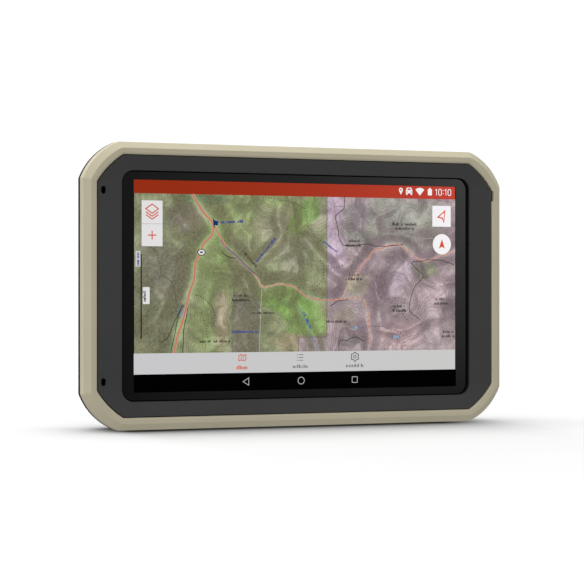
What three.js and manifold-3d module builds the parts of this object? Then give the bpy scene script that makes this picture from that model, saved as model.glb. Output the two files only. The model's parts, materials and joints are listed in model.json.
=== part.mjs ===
// Rugged seven-inch outdoor navigation unit, built as the separate pieces it comes apart into.
// Millimetres. +X runs to the user's right, +Z is up, the screen looks along -Y.
// The origin is the centre of the footprint: the unit stands on its long lower edge at z = 0.
// All pieces are laid out from mid height, inside a group raised by half the height.
import * as THREE from "three";
import { mergeVertices } from "three/addons/utils/BufferGeometryUtils.js";
import Module from "manifold-3d";

const wasm = await Module();
wasm.setup();

// ---------------------------------------------------------------- driving dimensions
// In tables, hx, hy and hz are half sizes along the axes.
const HALF_WIDTH = 198.4 / 2; // over the front frame
const HALF_HEIGHT = 121.6 / 2;
const UNIT_FRONT = -12.5; // front plane of the frame
const UNIT_BACK = 12.5; // rim of the rear dock

const CORNER_LEG = 15.5; // cut corner, measured along each edge of the outer outline
const CORNER_BOW = 2.3; // how far the cut bulges past its chord
const LEG_PER_MM = 0.72; // how the cut shrinks with distance inwards
const BOW_PER_MM = 0.25;

const FRAME_BACK = -5.42; // rear edge of the frame
const FRAME_CHAMFER = { width: 2.73, depth: 2.65 };
const FRAME_INNER = 5.4; // width of the frame seen from the front
const FRAME_EASE = { width: 0.45, depth: 0.4 }; // small chamfer on the frame's inner edge
const FRAME_STEP = -9.0; // where the frame widens inside, behind the bezel
const FRAME_STEP_INSET = 3.9;
const BEZEL_GAP = 0.3;

const OPENING = { hx: 82.53, hz: 48.76, corner: 5.3 }; // screen opening in the bezel
const GLASS = { front: -10.04, thickness: 1.1, gap: 0.3, chamfer: 0.15 };
const MIC = { x: -91.0, z: 40.2, hx: 1.05, hz: 1.6 }; // one slot above, one below mid height
const SENSOR = { x: 93.575, z: 41, hx: 1.075, hz: 2.6, corner: 0.9, gap: 0.15 };
const GROOVE = { outer: 0.9, inner: 2.3, floor: -6.5 }; // gasket groove, as insets
const GASKET_BACK = -5.15;
const GASKET_SIDE_GAP = 0.15;

const CHASSIS_INSET = 6.1;
const BATTERY_RIB_X = [26.5, 89.5];

const WALL = 2.4; // rear housing wall
const HOUSING_FRONT = -5.1;
const FLANGE_BACK = -2.9; // end of the straight side wall
const SHOULDER = 7.0; // start of the rear chamfer
const BACK_PLANE = 10.5;
const BACK_CHAMFER = 4.0;
const SIDE_TAPER = 4.6; // how far each side wall leans in between flange and shoulder
const INNER_BACK = 8.3;
const TOP_INSIDE = HALF_HEIGHT - WALL; // inner face of the top wall

// Screw places, as [x, z].
const HOUSING_SCREWS = {
  lower_left: [-82, -44],
  upper_left: [-82, 44],
  lower_right: [82, -44],
  upper_right: [82, 44],
  lower_middle: [0, -51],
  upper_middle: [-8, 51],
};
const HOUSING_SCREW_PLACES = Object.values(HOUSING_SCREWS);
const BOARD_SCREWS = [[-83, 34], [-58, -35], [17, 34], [17, -35]];
const DOCK_SCREWS = [[-22.5, -22.5], [22.5, -22.5], [22.5, 22.5], [-22.5, 22.5]];

const SPEAKER = { x: -54, z: -28 };
const PART_FRONT = -1.15; // parts on the main board start just behind its rear face

const KEY_Y = 1.0;
const KEY_HY = 2.2;
const KEY_OPENING_HY = 2.5;
const KEY_TOP = HALF_HEIGHT + 0.6;
const POWER = { x: 66, hx: 6.7, openingHx: 7.0 };
const ROCKER = { x: 34, hx: 10.85, openingHx: 11.2, reach: 8.3 }; // reach: centre to either switch
const ROCKER_PIN = { y: 0.95, z: 56.2, radius: 0.5, length: 6.8, holeRadius: 0.66 };

const PORT_Z = -10; // centre height of the port bay
const BAY = { y: [-1.5, 4.3], hz: 14.6, floor: -91.2 };
const PLUG = { y: 1.0, z: PORT_Z + 7.2, hy: 1.65, hz: 4.6, wall: 0.35 };
const CARD = { y: 0.15, z: PORT_Z - 6.4, hy: 0.36, hz: 5.4 };
// The door lies in the leaning left wall: start and pin are distances back along the wall
// from the flange, pinOut is the pin's distance out of it (negative is inwards).
const DOOR = { start: 0.75, pin: 8.9, pinOut: -1.35, thickness: 1.7, hz: 17.0, gap: 0.3 };
const KNUCKLE_RADIUS = 1.3;
const KNUCKLE_GAP = 0.35;

// ---------------------------------------------------------------- materials
const standard = (options) => new THREE.MeshStandardMaterial(options);
const MATERIAL = {
  sand: standard({ color: 0xb9b096, roughness: 0.55, metalness: 0 }),
  graphite: standard({ color: 0x3a3a3b, roughness: 0.5, metalness: 0 }),
  charcoal: standard({ color: 0x232425, roughness: 0.62, metalness: 0 }),
  glass: standard({
    color: 0x101112, roughness: 0.06, metalness: 0, transparent: true, opacity: 0.6,
  }),
  panel: standard({ color: 0x0a0a0c, roughness: 0.2, metalness: 0 }),
  backlight: standard({ color: 0xd8d8d2, roughness: 0.35, metalness: 0.1 }),
  magnesium: standard({ color: 0x9a9c9e, roughness: 0.45, metalness: 0.9 }),
  silicone: standard({ color: 0x17181a, roughness: 0.8, metalness: 0 }),
  key: standard({ color: 0x1b1c1e, roughness: 0.6, metalness: 0 }),
  steel: standard({ color: 0x8e9093, roughness: 0.32, metalness: 1 }),
  blackSteel: standard({ color: 0x2a2b2d, roughness: 0.4, metalness: 1 }),
  gold: standard({ color: 0xd6b062, roughness: 0.28, metalness: 1 }),
  board: standard({ color: 0x12402a, roughness: 0.55, metalness: 0 }),
  cell: standard({ color: 0x2d3f55, roughness: 0.45, metalness: 0.1 }),
  ceramic: standard({ color: 0xd9cdb2, roughness: 0.6, metalness: 0 }),
  polyimide: standard({ color: 0xa8641c, roughness: 0.4, metalness: 0 }),
  lens: standard({ color: 0x1a0f14, roughness: 0.1, metalness: 0 }),
};

// ---------------------------------------------------------------- outlines
const about = (middle, half) => [middle - half, middle + half];
const toLoop = (pairs) => pairs.map(([x, y]) => new THREE.Vector2(x, y));

// A closed loop: a rectangle with bowed cut corners, each in the given number of steps.
function outline(halfWidth, halfHeight, leg, bow, steps = 5) {
  const chord = leg * Math.SQRT2;
  const radius = (chord * chord * 0.25 + bow * bow) / (2 * bow);
  const halfAngle = Math.asin(Math.min(1, chord / 2 / radius));
  const centreX = halfWidth - leg / 2 + (bow - radius) * Math.SQRT1_2;
  const centreZ = halfHeight - leg / 2 + (bow - radius) * Math.SQRT1_2;
  const points = [];
  for (let quadrant = 0; quadrant < 4; quadrant++) {
    const signX = quadrant === 0 || quadrant === 3 ? 1 : -1;
    const signZ = quadrant < 2 ? 1 : -1;
    for (let i = 0; i <= steps; i++) {
      const t = quadrant % 2 === 0 ? i / steps : 1 - i / steps;
      const angle = Math.PI / 4 - halfAngle + 2 * halfAngle * t;
      const x = centreX + radius * Math.cos(angle);
      const z = centreZ + radius * Math.sin(angle);
      points.push(new THREE.Vector2(signX * x, signZ * z));
    }
  }
  return points;
}
// A bow of 0.29289 leg makes the corner a quarter circle.
const rounded = (halfWidth, halfHeight, radius, steps = 5) =>
  outline(halfWidth, halfHeight, radius, 0.29289 * radius, steps);
// Round-ended slot; the radius stays just short of full so that no two points coincide.
const slot = (halfWidth, halfHeight, steps = 4) =>
  rounded(halfWidth, halfHeight, Math.min(halfWidth, halfHeight) * 0.999, steps);
// The unit's outer outline moved inwards.
const inset = (distance) =>
  outline(
    HALF_WIDTH - distance,
    HALF_HEIGHT - distance,
    CORNER_LEG - LEG_PER_MM * distance,
    CORNER_BOW - BOW_PER_MM * distance,
  );
const dockLoop = (half, leg) => outline(half, half, leg, leg * 0.12);

// ---------------------------------------------------------------- solids
// Joins loops in the XZ plane, given as [y, loop] levels. A closed loft joins the last level
// to the first, which makes a ring; otherwise both ends are capped.
function loft(levels, closed) {
  const count = levels[0][1].length;
  const points = levels.flatMap(([y, loop]) => loop.flatMap((p) => [p.x, y, p.y]));
  const index = [];
  const bands = closed ? levels.length : levels.length - 1;
  for (let i = 0; i < bands; i++) {
    const near = i * count;
    const far = ((i + 1) % levels.length) * count;
    for (let j = 0; j < count; j++) {
      const k = (j + 1) % count;
      index.push(near + j, far + k, near + k, near + j, far + j, far + k);
    }
  }
  const cap = (level, facesFront) => {
    const loop = levels[level][1];
    const base = level * count;
    for (const [a, b, c] of THREE.ShapeUtils.triangulateShape(loop, [])) {
      const area = loop[b].clone().sub(loop[a]).cross(loop[c].clone().sub(loop[a]));
      if (area > 0 === facesFront) index.push(base + a, base + b, base + c);
      else index.push(base + a, base + c, base + b);
    }
  };
  if (!closed) {
    cap(0, true);
    cap(levels.length - 1, false);
  }
  const geometry = new THREE.BufferGeometry();
  geometry.setAttribute("position", new THREE.Float32BufferAttribute(points, 3));
  geometry.setIndex(index);
  return geometry;
}

// Welds a geometry into a manifold, turned right side out.
function solid(source) {
  source.deleteAttribute("normal");
  source.deleteAttribute("uv");
  const geometry = mergeVertices(source, 1e-4);
  const { position } = geometry.attributes;
  const triangles = new Uint32Array(geometry.index.array);
  const vertex = (i) => new THREE.Vector3().fromBufferAttribute(position, triangles[i]);
  let volume = 0;
  for (let i = 0; i < triangles.length; i += 3)
    volume += vertex(i).dot(vertex(i + 1).cross(vertex(i + 2)));
  if (volume < 0)
    for (let i = 0; i < triangles.length; i += 3)
      [triangles[i + 1], triangles[i + 2]] = [triangles[i + 2], triangles[i + 1]];
  const vertProperties = new Float32Array(position.array);
  return new wasm.Manifold(new wasm.Mesh({ numProp: 3, vertProperties, triVerts: triangles }));
}

const ring = (levels) => solid(loft(levels, true));
const body = (levels) => solid(loft(levels, false));
const plate = (loop, [y0, y1]) => body([[y0, loop], [y1, loop]]);
const tube = (outer, inner, [y0, y1]) =>
  ring([[y0, outer], [y0, inner], [y1, inner], [y1, outer]]);

function box([x0, x1], [y0, y1], [z0, z1]) {
  const geometry = new THREE.BoxGeometry(x1 - x0, y1 - y0, z1 - z0);
  geometry.translate((x0 + x1) / 2, (y0 + y1) / 2, (z0 + z1) / 2);
  return solid(geometry);
}

// Round bar along Y; backRadius makes it a cone.
function rodY(radius, [y0, y1], sides, [x, z] = [0, 0], backRadius = radius) {
  const geometry = new THREE.CylinderGeometry(backRadius, radius, y1 - y0, sides);
  geometry.translate(x, (y0 + y1) / 2, z);
  return solid(geometry);
}

function rodZ(radius, [z0, z1], sides, x, y) {
  const geometry = new THREE.CylinderGeometry(radius, radius, z1 - z0, sides);
  geometry.rotateX(Math.PI / 2);
  geometry.translate(x, y, (z0 + z1) / 2);
  return solid(geometry);
}

const extrude = (loop, options) =>
  new THREE.ExtrudeGeometry(new THREE.Shape(loop), { bevelEnabled: false, ...options });
// Prism along Z; the loop holds (x, y).
const prismZ = (loop, [z0, z1]) => solid(extrude(loop, { depth: z1 - z0 }).translate(0, 0, z0));
// Prism along X; the loop holds (y, z).
function prismX(loop, [x0, x1]) {
  const turn = new THREE.Matrix4().set(0, 0, 1, x0, 1, 0, 0, 0, 0, 1, 0, 0, 0, 0, 0, 1);
  return solid(extrude(loop, { depth: x1 - x0 }).applyMatrix4(turn));
}

// Cable with a polygonal section, swept through the given points.
function cable(radius, sides, steps, places) {
  const section = Array.from({ length: sides }, (_, i) => {
    const angle = (i * 2 * Math.PI) / sides;
    return new THREE.Vector2(radius * Math.cos(angle), radius * Math.sin(angle));
  });
  const points = places.map((place) => new THREE.Vector3(...place));
  return solid(extrude(section, { steps, extrudePath: new THREE.CatmullRomCurve3(points) }));
}

const fuse = (base, parts) => parts.reduce((result, part) => result.add(part), base);
const cut = (base, tools) => tools.reduce((result, tool) => result.subtract(tool), base);

// ---------------------------------------------------------------- scene
const root = new THREE.Group();
root.name = "navigation_unit";
const unit = new THREE.Group();
unit.position.z = HALF_HEIGHT;
root.add(unit);

function group() {
  const child = new THREE.Group();
  unit.add(child);
  return child;
}

function geometryOf(manifold) {
  const { vertProperties, triVerts } = manifold.getMesh();
  const geometry = new THREE.BufferGeometry();
  const positions = new Float32Array(vertProperties);
  geometry.setAttribute("position", new THREE.BufferAttribute(positions, 3));
  geometry.setIndex(new THREE.BufferAttribute(new Uint32Array(triVerts), 1));
  return geometry;
}

// Takes a manifold or a ready geometry.
function add(parent, name, shape, material, at = [0, 0, 0]) {
  const mesh = new THREE.Mesh(shape.isBufferGeometry ? shape : geometryOf(shape), material);
  mesh.name = name;
  mesh.position.set(...at);
  parent.add(mesh);
}

// ---------------------------------------------------------------- front frame, bezel, glass
// Notch for the light sensor, shared by frame and bezel.
const sensorLoop = (gap) =>
  rounded(SENSOR.hx - gap, SENSOR.hz - gap, SENSOR.corner - gap, 3);
const sensorNotch = () =>
  plate(sensorLoop(0), [UNIT_FRONT - 1, -9.6]).translate([SENSOR.x, 0, SENSOR.z]);

function frontFrame() {
  const frame = ring([
    [FRAME_BACK, inset(0)],
    [UNIT_FRONT + FRAME_CHAMFER.depth, inset(0)],
    [UNIT_FRONT, inset(FRAME_CHAMFER.width)],
    [UNIT_FRONT, inset(FRAME_INNER - FRAME_EASE.width)],
    [UNIT_FRONT + FRAME_EASE.depth, inset(FRAME_INNER)],
    [FRAME_STEP, inset(FRAME_INNER)],
    [FRAME_STEP, inset(FRAME_STEP_INSET)],
    [FRAME_BACK, inset(FRAME_STEP_INSET)],
    [FRAME_BACK, inset(GROOVE.inner)],
    [GROOVE.floor, inset(GROOVE.inner)],
    [GROOVE.floor, inset(GROOVE.outer)],
    [FRAME_BACK, inset(GROOVE.outer)],
  ]);
  return frame.subtract(sensorNotch());
}

function frontBezel() {
  const outer = inset(FRAME_INNER + BEZEL_GAP);
  const flange = inset(4.2); // reaches outwards behind the frame
  const flangeFront = -8.8;
  const seatY = -8.84; // step around the display panel
  const panelSeat = rounded(80.9, 47.4, 1.6);
  const back = -7.0;
  const bezel = ring([
    [-12.25, outer],
    [-11.6, rounded(OPENING.hx, OPENING.hz, OPENING.corner)],
    [seatY, rounded(OPENING.hx - 0.12, OPENING.hz - 0.12, OPENING.corner - 0.1)],
    [seatY, panelSeat],
    [back, panelSeat],
    [back, flange],
    [flangeFront, flange],
    [flangeFront, outer],
  ]);
  const micSlots = [1, -1].map((side) =>
    plate(slot(MIC.hx, MIC.hz), [-14, -6]).translate([MIC.x, 0, side * MIC.z]),
  );
  return cut(bezel, [...micSlots, sensorNotch()]);
}

// Glass plate with a small chamfer around its front face.
function coverGlass() {
  const { front: glassFront, thickness, gap, chamfer } = GLASS;
  const loop = (distance) =>
    rounded(OPENING.hx - distance, OPENING.hz - distance, OPENING.corner - distance);
  return body([
    [glassFront, loop(gap + chamfer)],
    [glassFront + chamfer, loop(gap)],
    [glassFront + thickness, loop(gap)],
  ]);
}

const front = group();
add(front, "front_frame", frontFrame(), MATERIAL.sand);
add(front, "front_bezel", frontBezel(), MATERIAL.graphite);
add(front, "light_sensor_window", plate(sensorLoop(SENSOR.gap), [-11.3, -9.75]), MATERIAL.lens, [
  SENSOR.x, 0, SENSOR.z,
]);
add(front, "cover_glass", coverGlass(), MATERIAL.glass);
const panelLoop = rounded(80.3, 46.8, 1.2, 2);
add(front, "display_panel", plate(panelLoop, [-8.82, -7.55]), MATERIAL.panel);
add(front, "backlight_unit", plate(panelLoop, [-7.45, -5.6]), MATERIAL.backlight);
const microphone = box(about(0, 1.9), [-6.9, -5.75], about(0, 1.5));
for (const [place, side] of [["upper", 1], ["lower", -1]])
  add(front, `microphone_${place}`, microphone, MATERIAL.steel, [MIC.x + 0.3, 0, side * MIC.z]);

// ---------------------------------------------------------------- seal between frame and housing
const perimeterGasket = tube(
  inset(GROOVE.outer + GASKET_SIDE_GAP),
  inset(GROOVE.inner - GASKET_SIDE_GAP),
  [GROOVE.floor + 0.1, GASKET_BACK],
);
add(unit, "perimeter_gasket", perimeterGasket, MATERIAL.silicone);

// ---------------------------------------------------------------- chassis
function midChassis() {
  const outer = inset(CHASSIS_INSET);
  const rootY = -4.2; // bosses and ribs start inside the plate
  const ribBack = -1.2;
  let chassis = plate(outer, [-5.45, -4.0]);
  // raised rim towards the back of the bezel, outside the backlight
  chassis = chassis.add(tube(outer, rounded(81.2, 47.8, 3), [-6.85, -5.3]));
  const micPockets = [1, -1].map((side) =>
    box([-93.2, -87.6], [-7, -5.5], about(side * MIC.z, 2.2)),
  );
  chassis = cut(chassis, micPockets);
  chassis = fuse(chassis, [
    ...HOUSING_SCREW_PLACES.map((at) => rodY(3.4, [rootY, -1.0], 14, at)),
    ...BOARD_SCREWS.map((at) => rodY(2.6, [rootY, -2.5], 12, at)),
    // ribs around the battery
    ...BATTERY_RIB_X.map((x) => box(about(x, 0.6), [rootY, ribBack], [-38, 32])),
    box(BATTERY_RIB_X, [rootY, ribBack], about(32, 0.6)),
  ]);
  return cut(chassis, [
    ...HOUSING_SCREW_PLACES.map((at) => rodY(1.35, [-3.9, 0], 12, at)),
    ...BOARD_SCREWS.map((at) => rodY(1.0, [-3.9, 0], 10, at)),
    // slot for the display flex, and lightening windows
    box([-24, 4], [-8, -3], [-45.5, -43.2]),
    ...[-70, 2].map((x) => plate(rounded(10, 12, 3, 3), [-8, -3]).translate([x, 0, -14])),
  ]);
}
add(unit, "mid_chassis", midChassis(), MATERIAL.magnesium);

// ---------------------------------------------------------------- left wall and key helpers
const wallRun = new THREE.Vector2(SIDE_TAPER, SHOULDER - FLANGE_BACK).normalize(); // to the back
const wallNormal = new THREE.Vector2(-wallRun.y, wallRun.x); // out of the left wall
const wallPoint = (along, out) =>
  new THREE.Vector2(-HALF_WIDTH, FLANGE_BACK)
    .addScaledVector(wallRun, along)
    .addScaledVector(wallNormal, out);
// Prisms along Z, centred on the port bay, with (along, out) sections.
const wallPrism = (section, halfLength) =>
  prismZ(section.map(([along, out]) => wallPoint(along, out)), about(PORT_Z, halfLength));
const wallBar = ([a0, a1], [out0, out1], halfLength) =>
  wallPrism([[a0, out1], [a0, out0], [a1, out0], [a1, out1]], halfLength);

const hinge = wallPoint(DOOR.pin, DOOR.pinOut);
const hingeRod = (radius, halfLength, sides) =>
  rodZ(radius, about(PORT_Z, halfLength), sides, hinge.x, hinge.y);

// Round-ended upright prism for keys and their openings.
const keyPrism = (x, hx, hy, zRange) =>
  prismZ(rounded(hx, hy, hy * 0.98, 4), zRange).translate([x, KEY_Y, 0]);

// ---------------------------------------------------------------- rear housing
// The housing's outer form, drawn in by an equal distance on all four sides.
function housingForm(shrink) {
  const hx = HALF_WIDTH - SIDE_TAPER - shrink;
  const hz = HALF_HEIGHT - shrink;
  return body([
    [HOUSING_FRONT, inset(shrink)],
    [FLANGE_BACK, inset(shrink)],
    [SHOULDER, outline(hx, hz, CORNER_LEG, CORNER_BOW)],
    [BACK_PLANE, outline(hx - BACK_CHAMFER, hz - BACK_CHAMFER, 13.6, 1.7)],
  ]);
}

function housingShell() {
  const mouth = outline(HALF_WIDTH - WALL, TOP_INSIDE, 14.0, 2.0);
  const cavity = body([
    [HOUSING_FRONT - 1, mouth],
    [FLANGE_BACK - 0.3, mouth],
    [6.0, outline(HALF_WIDTH - SIDE_TAPER - WALL, TOP_INSIDE, 14.0, 2.0)],
    [INNER_BACK, outline(HALF_WIDTH - SIDE_TAPER - 5.0, HALF_HEIGHT - 5.0, 12.6, 1.5)],
  ]);
  return housingForm(0).subtract(cavity);
}

function housingAdditions() {
  const dockPlateau = body([
    [INNER_BACK + 0.6, dockLoop(39.5, 12)],
    [BACK_PLANE + 0.1, dockLoop(39.5, 12)],
    [UNIT_BACK, dockLoop(37.4, 11.2)],
  ]);
  const bosses = HOUSING_SCREW_PLACES.map((at) => rodY(4.6, [-0.8, INNER_BACK + 0.5], 18, at));
  const bayWalls = box([-97.4, -89.6], [BAY.y[0] - 1.3, 7.6], about(PORT_Z, 19.0));
  const rockerLugs = [[-2.9, -1.7], [3.7, 4.9]].map((yRange) =>
    box(about(ROCKER.x, 1.6), yRange, [54.6, TOP_INSIDE + 0.5]),
  );
  const speakerPocket = tube(
    rounded(17.4, 12.4, 2.5, 3),
    rounded(16.0, 11.0, 1.6, 3),
    [4.6, INNER_BACK + 0.4],
  ).translate([SPEAKER.x, 0, SPEAKER.z]);
  return [
    dockPlateau,
    ...bosses,
    bayWalls.intersect(housingForm(1.0)),
    ...rockerLugs,
    speakerPocket,
  ];
}

function backCuts() {
  const grille = [-3, -2, -1, 0, 1, 2, 3].map((i) =>
    plate(slot(11.5, 0.8, 3), [7, 12]).translate([SPEAKER.x, 0, SPEAKER.z + i * 2.9]),
  );
  // grip grooves on both sides of the back, shorter towards the middle
  const grooves = [1, -1].flatMap((side) =>
    [0, 1, 2, 3].map((i) =>
      plate(slot(1.1, 24 - i * 2, 3), [BACK_PLANE - 0.7, 12])
        .translate([side * (79.5 - i * 4.6), 0, 4]),
    ),
  );
  return [
    // dock recess and contact window
    plate(dockLoop(30.4, 9), [10.1, 14]),
    plate(rounded(13.1, 5.6, 1.2, 2), [7, 14]),
    ...DOCK_SCREWS.map((at) => rodY(0.95, [8.9, 11], 10, at)),
    // counterbores and through holes for the housing screws
    ...HOUSING_SCREW_PLACES.flatMap((at) => [
      rodY(3.3, [7.7, 12], 20, at),
      rodY(1.55, [-2, 9], 12, at),
    ]),
    ...grille,
    ...grooves,
  ];
}

function keyCuts() {
  const openings = [POWER, ROCKER].map(({ x, openingHx }) =>
    keyPrism(x, openingHx, KEY_OPENING_HY, [TOP_INSIDE - 1, TOP_INSIDE + 5]),
  );
  const { y, z, holeRadius } = ROCKER_PIN;
  return [...openings, rodY(holeRadius, about(y, 3.55), 12, [ROCKER.x, z])];
}

function portCuts() {
  const seatHz = DOOR.hz + DOOR.gap;
  const troughRadius = KNUCKLE_RADIUS + KNUCKLE_GAP;
  const floorX = [-93, -88]; // through the bay floor
  const plugGap = 0.2;
  return [
    // door seat, hinge trough and pin holes
    wallBar([DOOR.start - DOOR.gap, DOOR.pin], [-DOOR.thickness - DOOR.gap, 3], seatHz),
    hingeRod(troughRadius, seatHz, 20),
    wallBar([DOOR.pin, DOOR.pin + troughRadius], [DOOR.pinOut, 4], seatHz),
    hingeRod(0.6, DOOR.hz + 1.6, 12),
    // bay, then the data port and card openings in its floor
    box([-100, BAY.floor], BAY.y, about(PORT_Z, BAY.hz)),
    box(floorX, about(PLUG.y, PLUG.hy + plugGap), about(PLUG.z, PLUG.hz + plugGap)),
    box(floorX, about(CARD.y, 0.75), about(CARD.z, 5.9)),
    // room for the board edge and both connectors behind the bay floor
    box([-89.8, -85], [-4, 6], about(PORT_Z, 17.5)),
  ];
}

const rearHousing = cut(fuse(housingShell(), housingAdditions()), [
  ...backCuts(),
  ...keyCuts(),
  ...portCuts(),
]);
add(unit, "rear_housing", rearHousing, MATERIAL.charcoal);

// ---------------------------------------------------------------- rear dock
// Two rows of seven contacts.
const CONTACTS = [-0.5, 0.5].flatMap((row) =>
  [-3, -2, -1, 0, 1, 2, 3].map((column) => [column * 3.2, row * 4.4]),
);

function dockPlate() {
  return cut(plate(dockLoop(30.0, 8.8), [10.15, 11.5]), [
    plate(rounded(13.2, 5.7, 1.2, 2), [9, 13]),
    // screw holes with countersinks
    ...DOCK_SCREWS.flatMap((at) => [
      rodY(1.1, [9, 13], 12, at),
      rodY(1.05, [10.35, 11.55], 16, at, 2.25),
    ]),
    // two blind locating holes for the mount's pegs
    ...[1, -1].map((side) => rodY(2.0, [10.6, 12], 16, [side * 20.5, 0])),
  ]);
}

function contactBlock() {
  const block = plate(rounded(12.8, 5.3, 1.0, 2), [7.6, 11.3]);
  const foot = plate(rounded(15, 7.2, 1.0, 2), [6.5, 8.2]);
  const holes = CONTACTS.map(([x, z]) => box(about(x, 0.95), [5, 13], about(z, 0.95)));
  return cut(block.add(foot), holes);
}

// Square pins standing on a common base.
function contactPins() {
  const base = box(about(0, 12), [5.7, 6.3], about(0, 4.6));
  const pins = CONTACTS.map(([x, z]) => box(about(x, 0.75), [6.1, 11.05], about(z, 0.75)));
  return fuse(base, pins);
}

// Bent strip from the contacts towards the main board, as a (y, z) section.
function dockFlex() {
  const section = toLoop([
    [5.6, 3], [5.35, 3], [5.35, -8.75], [-1.05, -8.75],
    [-1.05, -14.5], [-0.85, -14.5], [-0.85, -9], [5.6, -9],
  ]);
  return prismX(section, about(0, 4.5));
}

function dockScrew() {
  const cone = rodY(0.95, [-0.1, 1.0], 16, [0, 0], 2.1);
  return rodY(2.1, [0, 0.95], 16)
    .intersect(cone)
    .add(rodY(0.85, [-1.2, 0.3], 10))
    .subtract(rodY(0.9, [0.5, 1.5], 6)); // hex socket
}

const dock = group();
add(dock, "dock_plate", dockPlate(), MATERIAL.blackSteel);
add(dock, "dock_contact_block", contactBlock(), MATERIAL.silicone);
add(dock, "dock_contact_pins", contactPins(), MATERIAL.gold);
add(dock, "dock_flex", dockFlex(), MATERIAL.polyimide);
const dockScrewShape = dockScrew();
DOCK_SCREWS.forEach(([x, z], i) =>
  add(dock, `dock_screw_${i + 1}`, dockScrewShape, MATERIAL.steel, [x, 10.48, z]),
);

// ---------------------------------------------------------------- housing screws
const screws = group();
const housingScrew = rodY(2.9, [7.75, 9.6], 20)
  .add(rodY(1.28, [-3.6, 7.9], 12))
  .subtract(rodY(1.35, [8.5, 10], 6)); // hex socket
for (const [place, [x, z]] of Object.entries(HOUSING_SCREWS))
  add(screws, `housing_screw_${place}`, housingScrew, MATERIAL.blackSteel, [x, 0, z]);

// ---------------------------------------------------------------- electronics
function mainBoard() {
  const [screwX, screwZ] = HOUSING_SCREWS.upper_left;
  return cut(box([-89.4, 24], [-2.4, -1.2], about(0, 40)), [
    box([-90, -70], [-3, 0], [-41, -33.5]), // lower left corner
    plate(rounded(6.2, 6.2, 2, 2), [-3, 0]).translate([screwX, 0, screwZ]),
    ...BOARD_SCREWS.map((at) => rodY(1.3, [-3, 0], 12, at)),
  ]);
}

const boardScrew = rodY(2.0, [PART_FRONT, 0.05], 14)
  .add(rodY(0.9, [-3.7, -1.0], 10))
  .subtract(rodY(0.9, [-0.55, 0.5], 6)); // hex socket

function gnssAntenna() {
  const patch = box(about(0, 12.5), [PART_FRONT, 3.2], about(0, 9.5));
  return patch.add(rodY(1.2, [3, 3.6], 10, [0, 1]));
}

// Points are [x, y, z].
const batteryCable = cable(1.1, 8, 14, [
  [27.3, 1.2, -16],
  [25.2, 1.2, -16],
  [22.5, 1.0, -18],
  [18.5, 0.6, -20.5],
  [15.5, 0.6, -21],
]);
const radioCable = cable(0.55, 6, 12, [
  [42.6, 2.6, 46.5],
  [38, 2.2, 45.5],
  [28, 1.4, 41],
  [21.5, 0.2, 37.8],
  [20.4, -0.45, 37.2],
]);

// Bent strip running under the lower edge of the board, as a (y, z) section.
function displayFlex() {
  const section = toLoop([
    [-5.5, -44.6], [-0.75, -44.6], [-0.75, -37], [-1, -37], [-1, -44.35], [-5.5, -44.35],
  ]);
  return prismX(section, [-22, 2]);
}

const speakerOutline = rounded(15.4, 10.4, 1.4, 3);
// Flat body with a conical dish in its back.
const speakerDriver = plate(speakerOutline, [3.2, 7.5]).subtract(
  rodY(6.2, [6.5, 7.9], 20, [0, 0], 8.2),
);
const speakerGasket = tube(speakerOutline, rounded(13.2, 9.6, 1.0, 3), [7.55, 8.2]);

const inside = group();
add(inside, "main_board", mainBoard(), MATERIAL.board);
BOARD_SCREWS.forEach(([x, z], i) =>
  add(inside, `board_screw_${i + 1}`, boardScrew, MATERIAL.steel, [x, 0, z]),
);
const shieldAt = [-34, 0, 0];
const shieldCan = plate(rounded(19, 17, 1.2, 2), [PART_FRONT, 1.35]);
add(inside, "shield_can", shieldCan, MATERIAL.steel, shieldAt);
const thermalPad = box(about(0, 15), [-3.95, -2.45], about(0, 13));
add(inside, "thermal_pad", thermalPad, MATERIAL.silicone, shieldAt);
const batteryPack = plate(rounded(30, 33.5, 3, 3), [-3.6, 4.2]);
add(inside, "battery_pack", batteryPack, MATERIAL.cell, [58, 0, -3]);
add(inside, "battery_cable", batteryCable, MATERIAL.charcoal);
const batteryConnector = box([9.5, 15.2], [PART_FRONT, 2.2], [-24, -18]);
add(inside, "battery_connector", batteryConnector, MATERIAL.ceramic);
add(inside, "gnss_antenna", gnssAntenna(), MATERIAL.ceramic, [-38, 0, 29]);
const radioAntenna = box(about(0, 15), [0, 0.8], about(0, 3));
add(inside, "radio_antenna", radioAntenna, MATERIAL.board, [58, 2.2, 46.5]);
add(inside, "radio_antenna_cable", radioCable, MATERIAL.charcoal);
add(inside, "display_flex", displayFlex(), MATERIAL.polyimide);
const speakerAt = [SPEAKER.x, 0, SPEAKER.z];
add(inside, "speaker_driver", speakerDriver, MATERIAL.blackSteel, speakerAt);
add(inside, "speaker_gasket", speakerGasket, MATERIAL.silicone, speakerAt);

// ---------------------------------------------------------------- ports, card and door, left side
function dataPort() {
  const { y, z, hy, hz, wall } = PLUG;
  const hollowX = [-92, -85];
  const hollowZ = about(z, hz - wall);
  return box([-91.1, -83.6], about(y, hy), about(z, hz))
    .subtract(box(hollowX, about(y, hy - wall), hollowZ))
    .add(box([-90.4, -84.8], about(y, 0.35), about(z, 3.3))) // tongue
    .add(box([-88.6, -84.2], [-1.1, y], about(z, 4.2))) // foot
    .subtract(box(hollowX, [y - hy + wall, y - 0.35], hollowZ)); // clear in front of the tongue
}

function cardSocket() {
  const shell = box([-89.6, -74.2], [-1.1, 1.3], about(CARD.z, 7));
  return shell.subtract(box([-92, -75.6], about(CARD.y, 0.6), about(CARD.z, 5.75)));
}

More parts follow.
